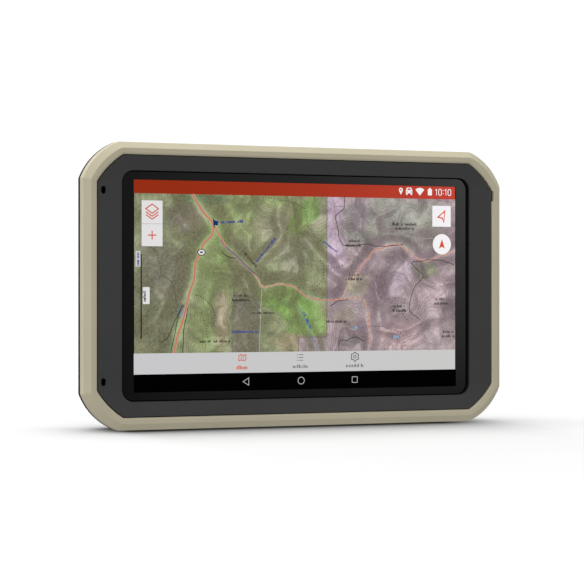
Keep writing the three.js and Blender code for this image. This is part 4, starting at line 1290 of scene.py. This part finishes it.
def draw_map_lines():
    art = Art()
    art.line(STREAM, 0.30, "water", 1)
    art.line(WEST_STREAM, 0.26, "trail", 1)
    art.dashes(WHITE_DOTS, 0.34, 0.4, 0.6, "pale", 1)
    for i, (amount, *points) in enumerate(DOTTED):
        art.dashes(wavy(amount, 31 + i, *points), 0.34, 0.5, 0.7 + 0.2 * (i % 3), "trail", 1)
    # casings below, then the coloured cores
    art.line(ROAD, 1.35, "road_edge", 1)
    art.line(BRANCH[:12], 1.0, "road_edge", 1)
    art.line(MAUVE, 0.85, "mauve", 1)
    art.line(BRANCH[30:58], 0.8, "road_edge", 1)
    art.dashes(BRANCH[57:], 0.75, 1.6, 0.7, "lane", 1)
    art.line(UPPER, 0.7, "lane", 1)
    art.line(ROAD, 0.66, "road", 2)
    art.line(BRANCH[:11], 0.5, "road", 2)
    art.line(MAUVE + [0.35, 0.3], 0.2, "trail", 2)
    art.dashes(BRANCH[30:50], 0.42, 0.9, 1.5, "road", 2)
    art.line(BRANCH[50:80], 0.42, "road", 2)
    art.dashes(BRANCH[80:], 0.42, 1.3, 1.3, "road", 2)
    art.line(UPPER[10:52], 0.42, "road", 2)
    art.dashes(UPPER[52:], 0.42, 2.2, 0.9, "road", 2)
    for seed, (amount, *points) in enumerate(TRAILS, 21):
        art.line(wavy(amount, seed, *points), 0.30, "trail", 2)
    art.line([(BORDER_X, MAP_TOP), (BORDER_X, BORDER_Z)], 0.24, "boundary", 2)
    step = [(BORDER_X, BORDER_Z), (BORDER_LEFT, BORDER_Z), (BORDER_LEFT, MAP_BOTTOM)]
    art.line(step, 0.2, "boundary", 2)
    art.oval(46.5, -22.5, 1.4, 0.75, 20, "lake", 2)
    art.oval(26.8, -18.2, 0.9, 0.8, 20, "lake", 2)
    for seed, (x, z, widths, height, ink, angle) in enumerate(MAP_LABELS, 101):
        art.ticks(x, z, widths, height, ink, 3, angle, seed)
    # blank oval route shield and a plain flag marker
    art.oval(-46.4, 14.5, 1.85, 1.45, 28, "black", 3)
    art.oval(-46.4, 14.5, 1.5, 1.12, 28, "white", 4)
    art.line([(-47.1, 14.5), (-45.7, 14.5)], 0.7, "grey", 5)
    flag = [(-40.9, 26.3), (-38.9, 26.0), (-38.6, 27.9), (-40.2, 28.2), (-40.9, 28.9)]
    art.poly(flag, "flag", 4)
    art.line([(-41.0, 29.0), (-40.4, 25.2)], 0.34, "black", 5)
    art.build("screen_map_lines")


def draw_bars():
    """The bars above and below the map, and the button plates over it."""
    art = Art()
    left, right = -WINDOW_X - SHIFT_X + 0.1, WINDOW_X - SHIFT_X
    art.rect(left, right, MAP_TOP, WINDOW_Z, "status_bar", 1)
    art.rect(left, right, -37.4, MAP_BOTTOM, "tab_bar", 1)
    art.rect(-73.5, -64.1, 16.9, 36.3, "white", 5, 0.25)
    art.rect(-73.5, -64.1, 26.28, 26.5, "divider", 6)
    art.rect(64.8, 74.1, 26.9, 36.3, "white", 5, 0.25)
    art.poly(circle(4.6, 56) + [69.6, 19.0], "white", 5)
    art.line([(-73.7, 13.5), (-73.7, -22.3)], 0.5, "black", 4)
    art.rect(-73.0, -69.9, -7.6, -0.4, "white", 4, 0.4)
    art.rect(-76.2, -74.0, 8.2, 14.9, "tab_bar", 4, 0.3)
    art.build("screen_bars")


def draw_map_buttons(art):
    # layers symbol: a sheet and two edges beneath it
    x, z, half = -68.8, 31.9, 2.85
    sheet = [(x - half, z + 0.9), (x, z - 1.05), (x + half, z + 0.9), (x, z + half)]
    art.line(sheet, 0.46, "accent", 6, closed=True)
    for drop in (2.3, 3.5):
        edge = [(x - half, z - drop + 1.9), (x, z - drop), (x + half, z - drop + 1.9)]
        art.line(edge, 0.46, "accent", 6)
    # plus sign
    art.line([(x - 1.9, 21.6), (x + 1.9, 21.6)], 0.5, "accent", 6)
    art.line([(x, 19.7), (x, 21.32)], 0.5, "accent", 6)
    art.line([(x, 21.88), (x, 23.5)], 0.5, "accent", 6)
    # outlined pointer and solid pointer
    pointer = [(71.1, 34.0), (67.6, 31.2), (69.9, 30.7), (70.6, 28.9)]
    art.line(pointer, 0.62, "accent", 6, closed=True)
    art.poly([(69.595, 21.3), (68.1, 17.0), (69.595, 17.9)], "accent", 6)
    art.poly([(69.605, 21.3), (69.605, 17.9), (71.1, 17.0)], "accent", 6)
    art.ticks(-71.6, -4.1, [4.6], 1.3, "grey", 6, math.pi / 2, 77)
    art.ticks(-74.6, 11.6, [5.4], 1.3, "blue_label", 5, math.pi / 2, 78)


def draw_status(art):
    """A drop, a vehicle, a signal fan, a battery and the time."""
    angles = np.linspace(-0.35, math.pi + 0.35, 14)
    drop = arc_points(49.0, 43.1, 1.0, angles)
    art.poly(list(map(tuple, drop)) + [(49.0, 40.9)], "white", 2)
    art.poly(circle(0.4, 12) + [49.0, 43.1], "status_bar", 3)
    car = [(51.5, 41.6), (54.7, 41.6), (54.7, 43.0), (54.2, 44.2), (52.0, 44.2), (51.5, 43.0)]
    art.poly(car, "white", 2)
    art.poly([(52.2, 43.1), (54.0, 43.1), (53.7, 43.8), (52.5, 43.8)], "status_bar", 3)
    for x in (51.6, 53.9):
        art.rect(x, x + 0.7, 40.9, 41.7, "white", 2)
    for x in (51.9, 53.9):
        art.rect(x, x + 0.45, 42.0, 42.45, "status_bar", 3)
    fan = arc_points(58.5, 40.9, 3.3, np.linspace(math.radians(48), math.radians(132), 12))
    art.poly([(58.5, 40.7)] + list(fan), "white", 2)
    art.rect(62.5, 64.6, 40.9, 43.7, "white", 2, 0.2)
    art.rect(63.1, 64.0, 43.6, 44.2, "white", 2)
    x = 66.1
    for char in "10:10":
        if char == "1":
            stroke = [(x + 0.2, 43.2), (x + 0.85, 43.75), (x + 0.85, 41.0)]
            art.line(stroke, 0.34, "white", 2)
            x += 1.65
        elif char == "0":
            zero = rounded(0.72, 1.38, 0.7)[::4] + [x + 0.95, 42.4]
            art.line(zero, 0.36, "white", 2, closed=True)
            x += 2.25
        else:
            for z in (41.6, 43.1):
                art.rect(x + 0.1, x + 0.5, z, z + 0.42, "white", 2)
            x += 0.85


def draw_tabs(art):
    """Folded map, list and settings, with filler below each."""
    folded = [
        (-29.1, -32.2), (-28.0, -31.8), (-26.9, -32.2), (-25.8, -31.8),
        (-25.8, -29.5), (-26.9, -29.9), (-28.0, -29.5), (-29.1, -29.9),
    ]
    art.line(folded, 0.34, "accent", 2, closed=True)
    for x in (-28.0, -26.9):
        art.line([(x, -31.7), (x, -29.8)], 0.26, "accent", 3)
    for z in (-29.9, -31.1, -32.3):
        art.line([(-0.9, z), (1.3, z)], 0.26, "grey", 2)
        art.line([(-1.8, z), (-1.4, z)], 0.3, "grey", 2)
    turns = np.linspace(0, 2 * math.pi, 48, endpoint=False)
    radius = 1.75 + 0.22 * np.clip(np.cos(6 * turns) * 2.2, -1, 1)
    gear = arc_points(26.3, -31.1, radius, turns + 0.5236)
    art.line(gear, 0.34, "grey", 2, closed=True)
    art.line(circle(0.62, 20) + [26.3, -31.1], 0.3, "grey", 2, closed=True)
    art.ticks(-27.4, -35.9, [5.2], 1.75, "accent", 2, seed=5, weight=0.26)
    art.ticks(-0.2, -35.7, [6.6], 1.5, "grey", 2, seed=6, weight=0.24)
    art.ticks(26.3, -35.7, [8.2], 1.5, "grey", 2, seed=7, weight=0.24)


def draw_navigation(art):
    """Triangle, circle and square on the black strip at the foot."""
    triangle = [(-27.2, -41.2), (-24.5, -39.6), (-24.5, -42.8)]
    art.line(triangle, 0.25, "navigation", 2, closed=True)
    art.line(circle(1.5, 36) + [0.3, -41.2], 0.27, "navigation", 2, closed=True)
    square = [(24.95, -42.45), (27.45, -42.45), (27.45, -39.95), (24.95, -39.95)]
    art.line(square, 0.25, "navigation", 2, closed=True)


draw_map_lines()
draw_bars()
symbols = Art()
draw_map_buttons(symbols)
draw_status(symbols)
draw_tabs(symbols)
draw_navigation(symbols)
symbols.build("screen_symbols")

# ------------------------------------------------------------------ rear housing
PORT_Z, DOOR_HALF, DOOR_START, DOOR_THICK = -10.0, 17.0, 0.75, 1.7
PIN_ALONG, PIN_OUT, KNUCKLE = 8.9, -1.35, 1.3  # hinge pin on the side wall, knuckle radius
KEY_Y, POWER_X, ROCKER_X = 1.0, 66.0, 34.0
wall_along = np.array([TAPER, SHOULDER - FLANGE_BACK])
wall_along = wall_along / np.linalg.norm(wall_along)
wall_out = np.array([-wall_along[1], wall_along[0]])


def on_wall(along, out):
    """A plan point by its place along, and out from, the tapered left wall."""
    return (
        -HALF_W + wall_along[0] * along + wall_out[0] * out,
        FLANGE_BACK + wall_along[1] * along + wall_out[1] * out,
    )


PIN = on_wall(PIN_ALONG, PIN_OUT)


def wall_prism(corners, low, high, name="cutter"):
    """corners: (along, out) places on the left wall."""
    return prism([on_wall(*place) for place in corners], low, high, from_above, name)


house = loft([
    (inset(0.3), HOUSE_FRONT, 0),
    (inset(0.0), HOUSE_FRONT + 0.3, 0.15),
    (inset(0.0), FLANGE_BACK, 0.8),
    (outline(HALF_W - TAPER, HALF_H, LEG, BOW, 3.4), SHOULDER, 1.0),
    (outline(HALF_W - TAPER - 4.0, HALF_H - 4.0, 13.6, 1.7, 3.0), BACK, 1.0),
    (outline(HALF_W - TAPER - 9.0, HALF_H - 9.0, 11.0, 1.4, 3.0), BACK, 0),
], "housing_shell", steps=6)
flange_inside = outline(HALF_W - WALL, HALF_H - WALL, 14.0, 2.0)
cut(house, loft([  # the hollow
    (flange_inside, HOUSE_FRONT - 1, 0),
    (flange_inside, FLANGE_BACK - 0.3, 0),
    (outline(HALF_W - TAPER - WALL, HALF_H - WALL, 14.0, 2.0), 6.0, 0),
    (outline(HALF_W - TAPER - 5.0, HALF_H - 5.0, 12.6, 1.5), INNER_BACK, 0),
]))
join(house, loft([  # raised pad for the dock
    (dock_outline(40.4, 12.4), INNER_BACK + 0.6, 0),
    (dock_outline(40.4, 12.4), BACK - 0.02, 0),
    (dock_outline(39.7, 12.1), BACK + 0.12, 0.3),
    (dock_outline(39.0, 11.8), BACK + 0.6, 0.4),
    (dock_outline(37.6, 11.3), RIM_BACK, 0.5),
    (dock_outline(34.0, 10.2), RIM_BACK, 0),
]))
for _, x, z in HOUSE_SCREWS:
    join(house, rod(4.6, -0.8, INNER_BACK + 0.5, (x, z), 36))

# wall behind the port door, trimmed to the inside of the shell
bay_wall = block((-97.4, -89.6), (-2.8, 7.6), around(PORT_Z, 19.0))
common(bay_wall, loft([
    (inset(1.0), HOUSE_FRONT, 0),
    (inset(1.0), FLANGE_BACK, 0),
    (outline(HALF_W - TAPER - 1.0, HALF_H - 1, LEG, BOW), SHOULDER, 0),
    (outline(HALF_W - TAPER - 5.0, HALF_H - 5.0, 13.6, 1.7), BACK, 0),
]))
join(house, bay_wall)

# two lugs for the rocker pivot
for y_range in ((-2.9, -1.7), (3.7, 4.9)):
    join(house, block(around(ROCKER_X, 1.6), y_range, (54.6, WALL_IN + 0.5)))

# raised frame behind the row of slots
SLOTS_X, SLOTS_Z = -54, -28
outer = rounded(17.4, 12.4, 2.5) + [SLOTS_X, SLOTS_Z]
inner = rounded(16.0, 11.0, 1.6) + [SLOTS_X, SLOTS_Z]
back = INNER_BACK + 0.4
levels = [(outer, 4.6, 0), (inner, 4.6, 0), (inner, back, 0), (outer, back, 0)]
join(house, loft(levels, closed=True))

# dock recess, contact window and screw holes
cut(house, opening(lambda grow: dock_outline(30.4 + grow, 9 + grow * 0.6), RIM_BACK, 10.1, 0.45))
cut(house, prism(rounded(13.1, 5.6, 1.2), 7, 14))
for place in DOCK_SCREWS:
    cut(house, rod(0.95, 8.9, 11, place, 20))
for _, x, z in HOUSE_SCREWS:
    cut(house, opening(hole_shape(3.3, 56, (x, z)), BACK, deep=7.7, lip=0.4))
    cut(house, rod(1.55, -2, 9, (x, z), 24))

# seven slots through the back, and four upright grooves towards each side
for i in range(-3, 4):
    slot = slot_shape(11.5, 0.8, 0.79, (SLOTS_X, SLOTS_Z + i * 2.9))
    cut(house, opening(slot, BACK, deep=7, lip=0.28))
for sign in (1, -1):
    for i in range(4):
        groove = slot_shape(1.1, 24 - i * 2, 1.09, (sign * (79.5 - i * 4.6), 4))
        cut(house, opening(groove, BACK, deep=BACK - 0.7, lip=0.4))

# key holes in the top wall and the rocker's pivot hole
for half_x, x in ((7.0, POWER_X), (11.2, ROCKER_X)):
    shape = slot_shape(half_x, 2.5, 2.48, (x, KEY_Y))
    cut(house, opening(shape, HALF_H, deep=HALF_H - 3.4, lip=0.3, view=from_above))
PIVOT, PIVOT_R = (ROCKER_X, 56.2), 0.66
cut(house, rod(PIVOT_R, 0.95 - 3.55, 0.95 + 3.55, PIVOT, 24))

# seat, hinge room and pin hole of the port door
seat = around(PORT_Z, DOOR_HALF + 0.3)
seat_start, seat_depth = DOOR_START - 0.3, -DOOR_THICK - 0.3
hinge_end = PIN_ALONG + KNUCKLE + 0.35
cut(
    house,
    wall_prism([(seat_start, 3), (seat_start, seat_depth), (PIN_ALONG, seat_depth),
                (PIN_ALONG, 3)], *seat),
    rod(KNUCKLE + 0.35, *seat, PIN, 40, about="z"),
    wall_prism([(PIN_ALONG, PIN_OUT), (hinge_end, PIN_OUT), (hinge_end, 4),
                (PIN_ALONG, 4)], *seat),
    rod(0.6, *around(PORT_Z, DOOR_HALF + 1.6), PIN, 24, about="z"),
    # port bay, the upper and lower windows in its floor, and room behind
    block((-100, -91.2), (-1.5, 4.3), around(PORT_Z, 14.6), soft=1.0),
    block((-93, -88), around(1, 1.85), around(PORT_Z + 7.2, 4.8)),
    block((-93, -88), around(0.15, 0.75), around(PORT_Z - 6.4, 5.9)),
    block((-89.8, -85), (-4, 6), around(PORT_Z, 17.5)),
)
dress(tidy(house), "rear_housing", MAT["housing_polymer"], angle=30)

# ------------------------------------------------------------------ rear dock
plate = loft([
    (dock_outline(29.6, 8.6), plate_low[1], 0),
    (dock_outline(30.0, 8.8), plate_low[1] + 0.2, 0.1),
    (dock_outline(30.0, 8.8), plate_high[1], 0.3),
    (dock_outline(28.8, 8.3), plate_high[1], 0),
], "dock_plate_pressing")
cut(plate, opening(slot_shape(13.2, 5.7, 1.2), plate_high[1], deep=9.4, lip=0.2))
COUNTERSINK = [(0, 10.35), (1.05, 10.35), (2.28, 11.58), (2.28, 13), (0, 13)]
for place in DOCK_SCREWS:
    cut(plate, rod(1.1, 9, 13, place, 32), revolve(COUNTERSINK, place, 48))
for sign in (1, -1):
    shape = hole_shape(2.0, 48, (sign * 20.5, 0))
    cut(plate, opening(shape, plate_high[1], deep=10.6, lip=0.18))
dress(tidy(plate), "dock_plate", MAT["black_steel"])

carrier = loft([
    (rounded(14.6, 6.8, 0.8), contact_low[1], 0),
    (rounded(15, 7.2, 1.0), contact_low[1], 0.2),
    (rounded(15, 7.2, 1.0), 8.2, 0.2),
    (rounded(12.8, 5.3, 1.0), 8.2, 0),
    (rounded(12.8, 5.3, 1.0), contact_high[1], 0.25),
    (rounded(12.2, 4.7, 0.7), contact_high[1], 0),
], "dock_contact_carrier")
PADS = [(col * 3.2, (row - 0.5) * 4.4) for row in range(2) for col in range(-3, 4)]
for place in PADS:
    shape = slot_shape(0.95, 0.95, 0.12, place)
    cut(carrier, opening(shape, contact_high[1], deep=5, lip=0.12))
dress(tidy(carrier), "dock_contact_block", MAT["black_polymer"])

pins = block((-12, 12), (5.7, 6.3), (-4.6, 4.6), "dock_spring_contacts", soft=0.15)
for place in PADS:
    join(pins, loft([
        (rounded(0.75, 0.75, 0.12) + place, 6.05, 0),
        (rounded(0.75, 0.75, 0.12) + place, 10.75, 0.2),
        (rounded(0.45, 0.45, 0.12) + place, 11.05, 0.15),
        (rounded(0.2, 0.2, 0.1) + place, 11.05, 0),
    ]))
dress(tidy(pins), "dock_contact_pins", MAT["contact_gold"])

# ------------------------------------------------------------------ screws
SEAT_Y = 10.48  # y of the countersunk seats
DOCK_SCREW = [  # radius, y from the seat
    (0, -1.2), (0.7, -1.2), (0.85, -1.05), (0.85, -0.02), (0.95, 0), (2.02, 0.86),
    (2.1, 0.9), (2.05, 0.95), (0, 0.95),
]
HOUSE_SCREW = [  # radius, y
    (0, -3.6), (1.05, -3.6), (1.28, -3.3), (1.28, 7.72), (2.75, 7.75), (2.9, 7.9),
    (2.9, 9.15), (2.8, 9.4), (2.55, 9.55), (2.3, 9.6), (0, 9.6),
]
dock_profile = [(radius, SEAT_Y + y) for radius, y in DOCK_SCREW]
for i, place in enumerate(DOCK_SCREWS, 1):
    screw = revolve(dock_profile, place, 48, f"dock_fastener_{i}")
    cut(screw, hex_socket(place, 0.9, 1.05, SEAT_Y + 0.42, SEAT_Y + 0.88, SEAT_Y + 1.3))
    dress(tidy(screw), f"dock_screw_{i}", MAT["steel"])
for name, x, z in HOUSE_SCREWS:
    screw = revolve(HOUSE_SCREW, (x, z), 56, f"housing_fastener_{name}")
    cut(screw, hex_socket((x, z), 1.35, 1.6, 8.5, 9.4, 9.7))
    dress(tidy(screw), f"housing_screw_{name}", MAT["black_steel"])


# ------------------------------------------------------------------ keys
def stadium(half_x, half_y, x):
    return rounded(half_x, half_y, half_y * 0.98) + [x, KEY_Y]


def keycap(name, x, half_x, crown_x, top_x, base):
    return loft([
        (stadium(half_x, 2.2, x), WALL_IN - base, 0),
        (stadium(half_x, 2.2, x), KEY_TOP - 0.12, 0.45),
        (stadium(crown_x, 1.0, x), KEY_TOP, 0.3),
        (stadium(top_x, 0.5, x), KEY_TOP, 0),
    ], name, view=from_above)


def key_flange(x, wide, narrow, base, top, soft):
    """The skirt that holds a key behind the wall."""
    wide, narrow = stadium(*wide, x), stadium(*narrow, x)
    levels = [(wide, WALL_IN - base, 0), (wide, WALL_IN - top, soft), (narrow, WALL_IN - top, 0)]
    return loft(levels, view=from_above)


def key_groove(loop, depth):
    return prism(loop, KEY_TOP - depth, KEY_TOP + 1, from_above)


power = keycap("power_keycap", POWER_X, half_x=6.7, crown_x=5.4, top_x=4.6, base=0.6)
join(
    power,
    key_flange(POWER_X, (8.0, 3.3), (7.4, 2.7), base=1.0, top=0.1, soft=0.2),
    block(around(POWER_X, 1.3), around(KEY_Y, 1.3), (55.3, WALL_IN - 0.5), soft=0.2),
)
cut(power, key_groove(stadium(1.9, 0.42, POWER_X), 0.28))
dress(tidy(power), "power_button", MAT["key_rubber"])

rocker = keycap("volume_keycap", ROCKER_X, half_x=10.85, crown_x=9.5, top_x=8.7, base=1.1)
join(
    rocker,
    key_flange(ROCKER_X, (12.0, 2.5), (11.4, 2.0), base=1.9, top=0.9, soft=0.15),
    block(around(ROCKER_X, 1.7), around(KEY_Y, 2.2), (54.9, WALL_IN - 1.2), soft=0.2),
)
for x_range in ((ROCKER_X - 9.4, ROCKER_X - 7.2), (ROCKER_X + 7.2, ROCKER_X + 9.4)):
    join(rocker, block(x_range, around(KEY_Y, 1.1), (55.5, WALL_IN - 1.5), soft=0.15))
# round dip in the middle of the rocker, and its pivot hole
cut(rocker, rod(5.0, KEY_Y - 4, KEY_Y + 4, (ROCKER_X, KEY_TOP + 4.5), 96))
cut(rocker, rod(PIVOT_R, KEY_Y - 6, KEY_Y + 6, PIVOT, 24))
# a minus groove on the left and a plus on the right
for x in around(ROCKER_X, 7.4):
    cut(rocker, key_groove(rounded(0.92, 0.2, 0.19) + [x, KEY_Y], 0.25))
cut(rocker, key_groove(rounded(0.2, 0.92, 0.18) + [ROCKER_X + 7.4, KEY_Y], 0.25))
dress(tidy(rocker), "volume_rocker", MAT["key_rubber"])

# ------------------------------------------------------------------ port door
door_low, door_high = around(PORT_Z, DOOR_HALF)
door = wall_prism(
    [(DOOR_START, 0), (DOOR_START, -DOOR_THICK), (PIN_ALONG, -DOOR_THICK),
     (PIN_ALONG, PIN_OUT + KNUCKLE)],
    door_low, door_high, "port_door_moulding",
)
bm = bmesh.new()
bm.from_mesh(door.data)
sharp = [edge for edge in bm.edges if abs(edge.calc_face_angle(0)) > 0.5]
bmesh.ops.bevel(bm, geom=sharp, offset=0.28 * MM, segments=4, profile=0.6, affect="EDGES")
bm.to_mesh(door.data)
bm.free()
common(door, prism(rounded(9, DOOR_HALF, 1.6) + [6.8, PORT_Z], -112, -82, along_x))
join(door, revolve([
    (0, door_low), (KNUCKLE - 0.25, door_low), (KNUCKLE, door_low + 0.25),
    (KNUCKLE, door_high - 0.25), (KNUCKLE - 0.25, door_high), (0, door_high),
], PIN, 48, about="z"))
cut(door, rod(0.62, PORT_Z - 40, PORT_Z + 40, PIN, 24, about="z"))
# scoop at the free edge
scoop_x, scoop_y = on_wall(DOOR_START - 0.3, 3.35)
bm = bmesh.new()
bmesh.ops.create_uvsphere(bm, u_segments=64, v_segments=40, radius=4.2 * MM)
for vert in bm.verts:
    x, y, z = vert.co
    vert.co = Vector((x + scoop_x * MM, y + scoop_y * MM, z * 1.5 + (PORT_Z + HALF_H) * MM))
cut(door, to_object(bm, "cutter"))
# four shallow grooves along the door, two above the scoop and two below
for offset in (-11.5, -9.7, 9.7, 11.5):
    corners = [(2.2, -0.18), (2.2, 0.6), (7.2, 0.6), (7.2, -0.18)]
    cut(door, wall_prism(corners, *around(PORT_Z + offset, 0.35)))
dress(tidy(door), "port_door", MAT["door_rubber"], angle=35)

# ------------------------------------------------------------------ CAD parts kept as they are
OWN_FINISH = {
    "data_port": MAT["plated_shell"],
    "card_socket": MAT["plated_cage"],
    "memory_card": MAT["card_polymer"],
}
for node in [node for node in NODES if not NODES[node].hide_render]:
    part = NODES[node]
    part.data.materials.clear()
    part.data.materials.append(OWN_FINISH.get(node) or MAT[SLOT_OF[node]])
    low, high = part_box(node)
    thin = min(high[i] - low[i] for i in range(3)) * 1000
    mod = part.modifiers.new("bevel", "BEVEL")
    mod.width, mod.segments, mod.limit_method = min(0.22, thin * 0.16) * MM, 2, "ANGLE"
    mod.angle_limit, mod.use_clamp_overlap = math.radians(35), True
    mod.miter_outer = "MITER_ARC"
    mod = part.modifiers.new("wn", "WEIGHTED_NORMAL")
    mod.keep_sharp, mod.weight = False, 50


# ------------------------------------------------------------------ floor
def contact_shade(graph):
    """Darkening of the floor by its distance to the foot of the unit."""
    axes = graph.axes()
    foot_x, foot_y = (-0.0015, 0.0765), (-0.003, 0.0068)  # centre, half size

    def outside(axis, center, half):
        offset = graph.math("ABSOLUTE", graph.plus(axis, -center))
        return graph.math("MAXIMUM", graph.minus(offset, half), 0.0)

    far_x = graph.times(outside(axes[0], *foot_x), 0.77)  # reaches further along x
    far_y = outside(axes[1], *foot_y)
    away = graph.plus(graph.times(far_x, far_x), graph.times(far_y, far_y))
    away = graph.math("SQRT", away)
    full_until, fade = 0.0062, 0.0105
    fall = graph.math("EXPONENT", graph.times(graph.minus(full_until, away), 1 / fade))
    return graph.times(graph.math("MINIMUM", fall, 1.0), 0.94)


def floor_material():
    """White paper with a contact shade, running out into plain white."""
    material, graph = new_material("floor_white")
    drift = graph.remap(graph.noise(scale=3.0, detail=2.0), (0.3, 0.7))
    paper = graph.mix(drift, (0.79, 0.79, 0.79, 1), (0.81, 0.81, 0.81, 1))
    paper = graph.mix(contact_shade(graph), paper, (0.012, 0.012, 0.012, 1))
    diffuse = graph.node("BsdfDiffuse", {"Color": paper}).outputs[0]
    reach = graph.node("VectorMath", {0: graph.coord()}, operation="LENGTH").outputs["Value"]
    x = graph.axes()[0]
    # painted light: near both ends of the unit the floor is lifted towards plain white, thinning its
    # shadow there
    ends = graph.plus(
        graph.remap(x, (0.070, 0.100), (0.0, 0.44)),
        graph.remap(x, (-0.092, -0.080), (0.28, 0.0)),
    )
    white_out = graph.math("MAXIMUM", graph.remap(reach, (0.17, 0.42)), ends)
    seen = graph.mix_shader(white_out, diffuse, graph.emission(Strength=1.06))
    onto_unit = graph.emission(Strength=0.47)  # what the unit receives from the paper
    camera_ray = graph.node("LightPath").outputs["Is Camera Ray"]
    graph.surface(graph.mix_shader(camera_ray, onto_unit, seen))
    return material


bm = bmesh.new()
bmesh.ops.create_grid(bm, x_segments=4, y_segments=4, size=30)
floor = to_object(bm, "floor")
floor.data.materials.append(floor_material())
floor.location.z = -0.0002
floor.visible_glossy = False
floor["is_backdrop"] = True


# ------------------------------------------------------------------ world
def build_world():
    world = bpy.data.worlds.new("studio")
    bpy.context.scene.world = world
    world.use_nodes = True
    world.node_tree.nodes.clear()
    graph = Graph(world.node_tree)
    plus, minus, times, calc = graph.plus, graph.minus, graph.times, graph.math
    path = graph.node("LightPath").outputs
    direction = graph.node("TexCoord").outputs["Generated"]
    x, y, z = graph.node("SeparateXYZ", {0: direction}).outputs

    # soft surround, brighter from above, from the left and from behind the unit
    up = calc("MAXIMUM", z, 0.0)
    left = calc("MAXIMUM", times(x, -1.0), 0.0)
    behind = calc("MAXIMUM", y, 0.0)
    soft = plus(plus(0.50, times(up, 0.12)), plus(times(left, 0.78), times(behind, 0.30)))

    # what polished surfaces see: dim near the floor, brighter up and to the right
    side = calc("DIVIDE", minus(x, 0.30), 0.175)
    side = calc("MINIMUM", calc("MAXIMUM", side, 0.0), 1.0)
    high = calc("DIVIDE", plus(z, 0.052), 0.104)
    high = calc("MINIMUM", calc("MAXIMUM", high, 0.0), 1.3)
    low = plus(0.05, times(calc("MINIMUM", times(side, 3.0), 1.0), 0.18))
    shine = plus(low, times(high, plus(0.08, times(calc("POWER", side, 4.0), 0.85))))
    glossy = plus(times(path["Is Glossy Ray"], minus(shine, soft)), soft)
    backdrop = 1.05  # what the camera sees
    final = plus(times(path["Is Camera Ray"], minus(backdrop, glossy)), glossy)
    sky = graph.node("Background", {"Color": (1, 1, 1, 1), "Strength": final})
    graph.node("OutputWorld", {"Surface": sky.outputs[0]})


build_world()

# ------------------------------------------------------------------ light and camera
LIGHT_AT, LIGHT_AIM = Vector((-0.18, 0.31, 1.14)), Vector((0, 0, 0.04))
lamp = bpy.data.lights.new("key_light", "AREA")
lamp.shape, lamp.size, lamp.size_y, lamp.energy = "RECTANGLE", 0.9, 0.7, 8.5
key_light = bpy.data.objects.new("key_light", lamp)
bpy.context.scene.collection.objects.link(key_light)
key_light.location = LIGHT_AT
key_light.rotation_euler = (LIGHT_AIM - LIGHT_AT).to_track_quat("-Z", "Y").to_euler()

optics = bpy.data.cameras.new("camera")
optics.sensor_width, optics.lens, optics.clip_start = 36, 128.1, 0.01
optics.shift_x = -0.0007
camera = bpy.data.objects.new("camera", optics)
bpy.context.scene.collection.objects.link(camera)
camera.location = (-0.3675, -0.8390, 0.0583)
camera.rotation_euler = (math.radians(90), 0, math.radians(-23.68))
bpy.context.scene.camera = camera
bpy.context.scene.view_settings.view_transform = "Standard"

low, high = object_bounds()
